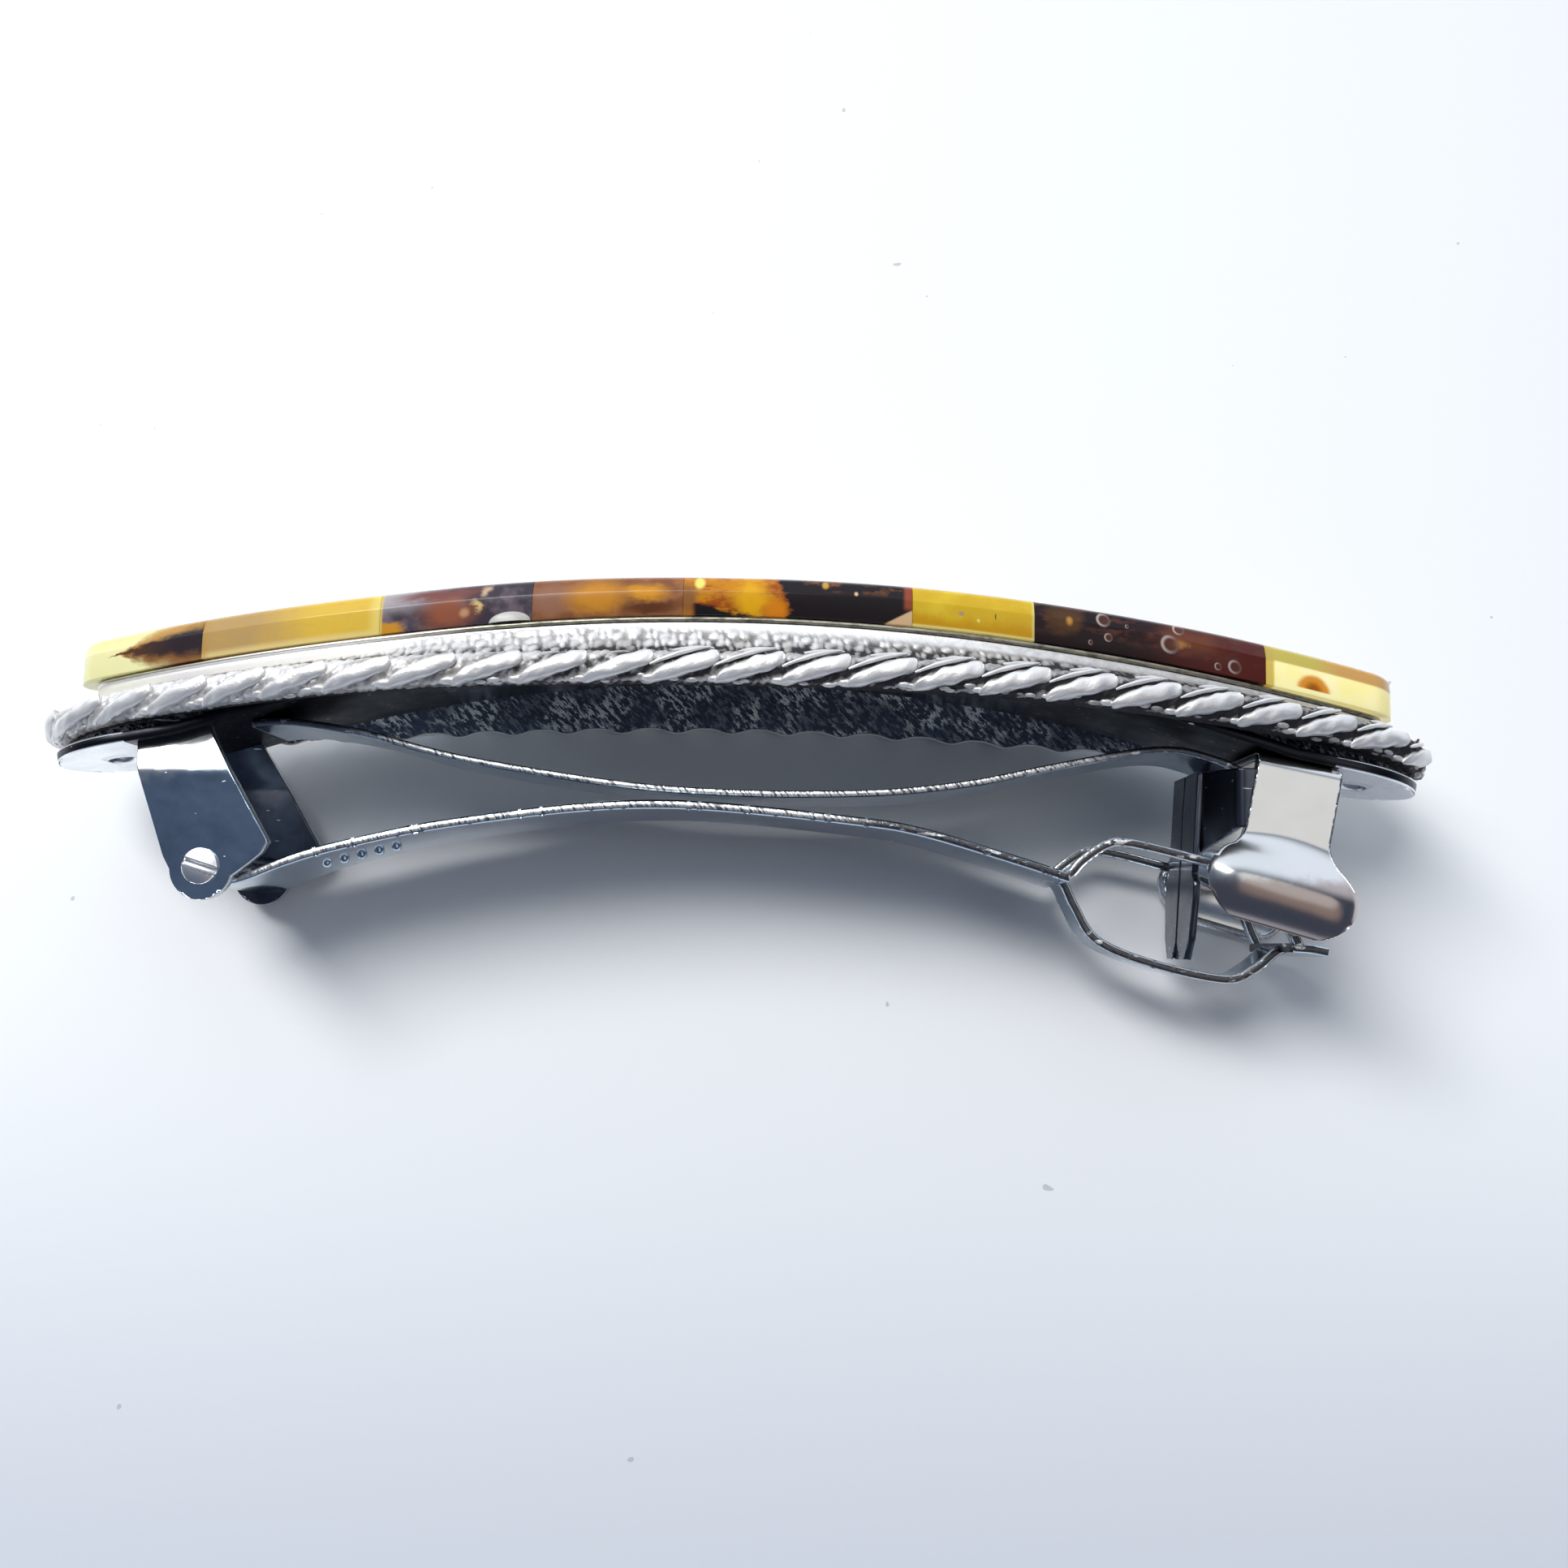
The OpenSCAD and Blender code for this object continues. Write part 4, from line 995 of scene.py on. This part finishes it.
# The closing arm: one strip of spring steel, bowed, rolled round the pin at its hinge end and split near
# the catch into two rails that rise and a tongue that dips below. Its long edges are sheared and rough, and
# near the hinge a row of small dots is pressed up.
ARM_W = 8.2
ARM_T = 0.5
RAIL_W = 0.65
TONGUE_W = 3.2
ROLL_R = 0.85
ARM_BODY = [(-27.2, -7.5), (-24.8, -6.55), (-22.4, -5.75), (-17.9, -4.62), (-14.3, -3.95), (-8.9, -3.18),
            (-4.4, -2.85), (0, -2.95), (7.3, -3.55), (10.9, -4.1), (16.3, -5.6), (18.9, -6.42)]
ARM_RAIL = [(18.2, -6.2), (18.9, -6.2), (19.6, -5.45), (20.9, -4.55), (22.1, -4.4), (25.2, -5.05),
            (28, -5.85), (30.2, -7.2), (31.1, -9.1), (31.5, -10)]
ARM_TONGUE = [(18.2, -6.2), (18.95, -6.6), (19.6, -7.9), (20.9, -9.8), (24.1, -11.05), (28.1, -11.8),
              (29.7, -11.2), (31, -10.15), (31.7, -9.95)]
ARM_TAB = [(31.1, -9.95), (32.1, -10), (33, -10.15)]
TOOTH = 0.3
TOOTH_DEEP = 0.02
DOTS = 5
DOT_R = 0.3
DOT_X = -23.5
DOT_Y = -6.32
DOT_RISE = 0.26


def run_along(path):
    """The length along a path up to each of its points."""
    return np.concatenate([[0], np.cumsum(np.linalg.norm(np.diff(path, axis=0), axis=1))])


def smooth_path(points, step):
    """A smooth curve through the points, cut at even steps."""
    p = np.asarray(points, float)
    a, b, c, d = np.vstack([p[:1], p[:-2]]), p[:-1], p[1:], np.vstack([p[2:], p[-1:]])
    u = np.linspace(0, 1, 25)[:-1, None, None]
    fine = 0.5 * (2 * b + (c - a) * u + (2 * a - 5 * b + 4 * c - d) * u**2 + (3 * b - a - 3 * c + d) * u**3)
    fine = np.vstack([fine.transpose(1, 0, 2).reshape(-1, 2), p[-1:]])
    run = run_along(fine)
    even = np.linspace(0, run[-1], max(2, int(run[-1] / step) + 1))
    return np.stack([np.interp(even, run, fine[:, 0]), np.interp(even, run, fine[:, 1])], 1)


def sheared(path, z0, z1, seed):
    """The middle surface of a strip along the path from z0 to z1, its long edges rough where the shears
    cut them."""
    narrow = z1 - z0 < 2
    shares = [0, 0.08, 0.3, 0.7, 0.92, 1] if narrow else [0, 0.015, 0.1, 0.3, 0.5, 0.7, 0.9, 0.985, 1]
    z = z0 + (z1 - z0) * np.array(shares) + np.zeros((len(path), 1))
    rough = np.random.default_rng(seed)
    run = run_along(path)
    for column, way in ((0, 1), (-1, -1)):
        marks = np.cumsum(rough.uniform(0.5, 1.6, int(run[-1] / TOOTH * 1.6) + 4)) * TOOTH
        heights = rough.uniform(0, TOOTH_DEEP, len(marks))
        tooth = np.searchsorted(marks, run)
        saw = np.clip((run - marks[tooth - 1]) / TOOTH, 0, 1)
        z[:, column] += way * (heights[tooth] + 0.4 * TOOTH_DEEP * saw)
    return xyz(path[:, :1], path[:, 1:], z)


roll_a = np.radians(np.arange(20, 275, 15))
roll = [(PIN_X + ROLL_R * math.cos(a), PIN_Y + ROLL_R * math.sin(a)) for a in roll_a]
rail_in = ARM_W / 2 - RAIL_W
arm_parts = [("arm_body", roll + ARM_BODY, -ARM_W / 2, ARM_W / 2),
             ("arm_rail_near", ARM_RAIL, rail_in, ARM_W / 2),
             ("arm_rail_far", ARM_RAIL, -ARM_W / 2, -rail_in),
             ("arm_tongue", ARM_TONGUE, -TONGUE_W / 2, TONGUE_W / 2),
             ("arm_tab", ARM_TAB, -ARM_W / 2, ARM_W / 2)]
for seed, (name, points, z0, z1) in enumerate(arm_parts, 20):
    surface = sheared(smooth_path(points, 0.1), z0, z1, seed)
    sheet_piece(name, surface, ARM_T, [steel, arm_edge], ["closing_arm"], "arm", 0.1)
ball_a, ball_b = ball_angles(13, 24)
ball = DOT_R * xyz(np.sin(ball_a) * np.cos(ball_b), np.cos(ball_a), np.sin(ball_a) * np.sin(ball_b))
faces = grid(13, 24, tube=True)
for k in range(DOTS):
    dot = ball + (DOT_X + k, DOT_Y + DOT_RISE * k, 0)
    new_piece("arm_dot_%d" % (k + 1), dot, faces, [steel], ["closing_arm"], "arm")

# The tension bar: a bowed strip of thinner spring steel hooked under the strip at both ends. It presses
# the hair against the arm. Its edges are sheared like the arm's.
BAR_W = 6
BAR_T = 0.4
BAR = [(-27.3, 1.35), (-25, 1.5), (-21, 0.95), (-15.7, -0.3), (-9.2, -1.3), (-4.6, -1.8), (0, -2),
       (4.6, -1.98), (9.2, -1.75), (13.7, -1.15), (18.2, -0.15), (22.8, 0.8), (25.2, 0.95), (27.3, 0.45),
       (28.6, -0.1), (29.2, -0.5)]
surface = sheared(smooth_path(BAR, 0.1), -BAR_W / 2, BAR_W / 2, 40)
sheet_piece("bar", surface, BAR_T, [steel, bar_edge], ["tension_bar"])

# The clasp: one piece of bright spring steel under the strip's end, bent down into two wings that swell
# into press pads. A slanted flap and a catch leaf hang inside each wing; squeezing the pads frees the arm.
CLASP_X = 31.4
CLASP_Y = float(strip_low(CLASP_X)) - 0.05
CLASP_T = 0.5
WING_HALF = 2.375
PAD_Y = -7.3
PAD_HALF_LEN = 3.95
PAD_HALF_H = 1.95
PAD_R = 2.55
PAD_RISE = 1.45
SWELL_UP = 3.2
SWELL_BOW = 0.06
FLARE = 0.5
FLARE_UP = 3.1
FLARE_OVER = 1.3
PAD_END = 1.5
PAD_DROP = 0.75
PAD_TILT = 0.07
WING_BEND = 0.5
clasp_bright, place = new_finish("bright_clasp_steel", 0.2, Metallic=1.0)
up, out = split_up(place)[1:]
plated = mixed(speckle(place, 0.5, 3.0), (0.80, 0.80, 0.79), (0.92, 0.92, 0.91))
# a warm pinkish band low on the pads' outer faces is a painted reflection
worn = moved(up, speckle(place, 0.9, 4.0, 0.6), 1.0)
painted_reflection_mask = times(step_up(worn, CLASP_Y + PAD_Y + 1.0, CLASP_Y + PAD_Y + 0.2), step_up(out, -1, 1))
wire(clasp_bright, Base_Color=mixed(painted_reflection_mask, plated, (0.52, 0.45, 0.43)))
bump(clasp_bright, speckle(place, 0.3, 2.0), 0.03)


def pad_outline(y):
    """Half width of the wing and pad at a height below the strip."""
    dy = np.abs(y - PAD_Y)
    pill = PAD_HALF_LEN - PAD_HALF_H + np.sqrt(np.maximum(0, PAD_HALF_H**2 - dy**2))
    neck = WING_HALF + FLARE * np.clip((PAD_Y + FLARE_UP - y) / FLARE_OVER, 0, 1)**2
    return np.where(dy < PAD_HALF_H, np.where(y > PAD_Y, np.maximum(pill, neck), pill), neck)


def pad_height(x, y):
    """z of the outer face: flat on the wing, swelling to a ridge along the pad, rounded off at its ends."""
    swell_from = SWELL_UP - SWELL_BOW * x * x
    above = np.clip((y - PAD_Y) / swell_from, 0, 1)
    below = np.clip(PAD_Y - y, 0, PAD_R - 0.03)
    ridge = PAD_RISE * 0.5 * (1 + np.cos(math.pi * above)) - sag(PAD_R, below)
    end = np.clip((np.abs(x) - PAD_HALF_LEN + PAD_END) / PAD_END, 0, 0.999)
    drop = PAD_DROP * sag(1, end) * np.clip((PAD_Y + SWELL_UP - y) / 1.2, 0, 1)
    return STRIP_W / 2 + ridge - drop


shares = np.array([-1, -0.985, -0.93, -0.8, -0.6, -0.4, -0.2, 0, 0.2, 0.4, 0.6, 0.8, 0.93, 0.985, 1])
wing_z = STRIP_W / 2 - CLASP_T / 2
rows = [xyz(WING_HALF * shares, -CLASP_T / 2, z) for z in np.linspace(0, wing_z - WING_BEND, 6)]
for a in np.linspace(0, math.pi / 2, 7)[1:-1]:
    rows.append(xyz(WING_HALF * shares, -CLASP_T / 2 - WING_BEND * (1 - math.cos(a)),
                    wing_z - WING_BEND * (1 - math.sin(a))))
down = np.concatenate([np.linspace(-WING_BEND - 0.25, PAD_Y + 2.4, 30),
                       np.linspace(PAD_Y + 2.2, PAD_Y - PAD_HALF_H + 0.01, 40)])
for y in down:
    x = pad_outline(y) * shares
    tilt = PAD_TILT * np.clip((PAD_Y + 3.0 - y) / 1.6, 0, 1)
    rows.append(xyz(x, y - tilt * x, pad_height(x, y) - CLASP_T / 2))
near_half = np.array(rows)
x, y, z = np.moveaxis(np.concatenate([near_half[:0:-1] * (1, 1, -1), near_half]), -1, 0)
surface = xyz(CLASP_X + x * math.cos(TAB_A) + y * math.sin(TAB_A),
              CLASP_Y - x * math.sin(TAB_A) + y * math.cos(TAB_A), z)
sheet_piece("clasp_wings", surface, CLASP_T, [clasp_bright, cut_edge], ["clasp"],
            round_by=0.1)

# inside each wing: a catch leaf, whose foot narrows to a point, and a flap that slants towards it; both are
# dark steel, painted shade inside the wing
LEAF_X = 26.5
LEAF_T = 0.4
LEAF_A = math.radians(3.5)
FLAP_T = 0.33
FLAP_PLAN = [(29.6, 4.75), (28.25, 4.75), (27.9, 4.4), (26.5, 2.3)]
shares = np.array([0, 0.03, 0.2, 0.5, 0.8, 0.97, 1])
leaf_y = np.concatenate([np.linspace(-0.2, -9.8, 50), np.linspace(-9.85, -10.75, 12)])[:, None]
leaf_in = np.interp(-leaf_y, [9.8, 10.75], [0.15, 0.7])
leaf_out = np.interp(-leaf_y, [6, 6.4, 7.4, 9.6, 10.75], [2.7, 3.25, 3.25, 2.8, 2.0])
leaf_z = leaf_in + (leaf_out - leaf_in) * shares
leaf_y = leaf_y * math.cos(LEAF_A)
flap_x, flap_z = np.hsplit(smooth_path(FLAP_PLAN, 0.15), 2)
flap_y = -0.2 + (np.interp(flap_z, [1.8, 5.2], [-5.1, -3.2]) + 0.2) * shares
for side, word in ((1, "near"), (-1, "far")):
    leaf = xyz(LEAF_X + leaf_y * math.tan(LEAF_A), leaf_y, leaf_z * side)
    sheet_piece("leaf_" + word, leaf, LEAF_T, [painted_shade_steel, painted_shade_steel], ["clasp"])
    flap = xyz(flap_x, flap_y, flap_z * side)
    sheet_piece("flap_" + word, flap, FLAP_T, [painted_shade_steel, cut_edge], ["clasp"])
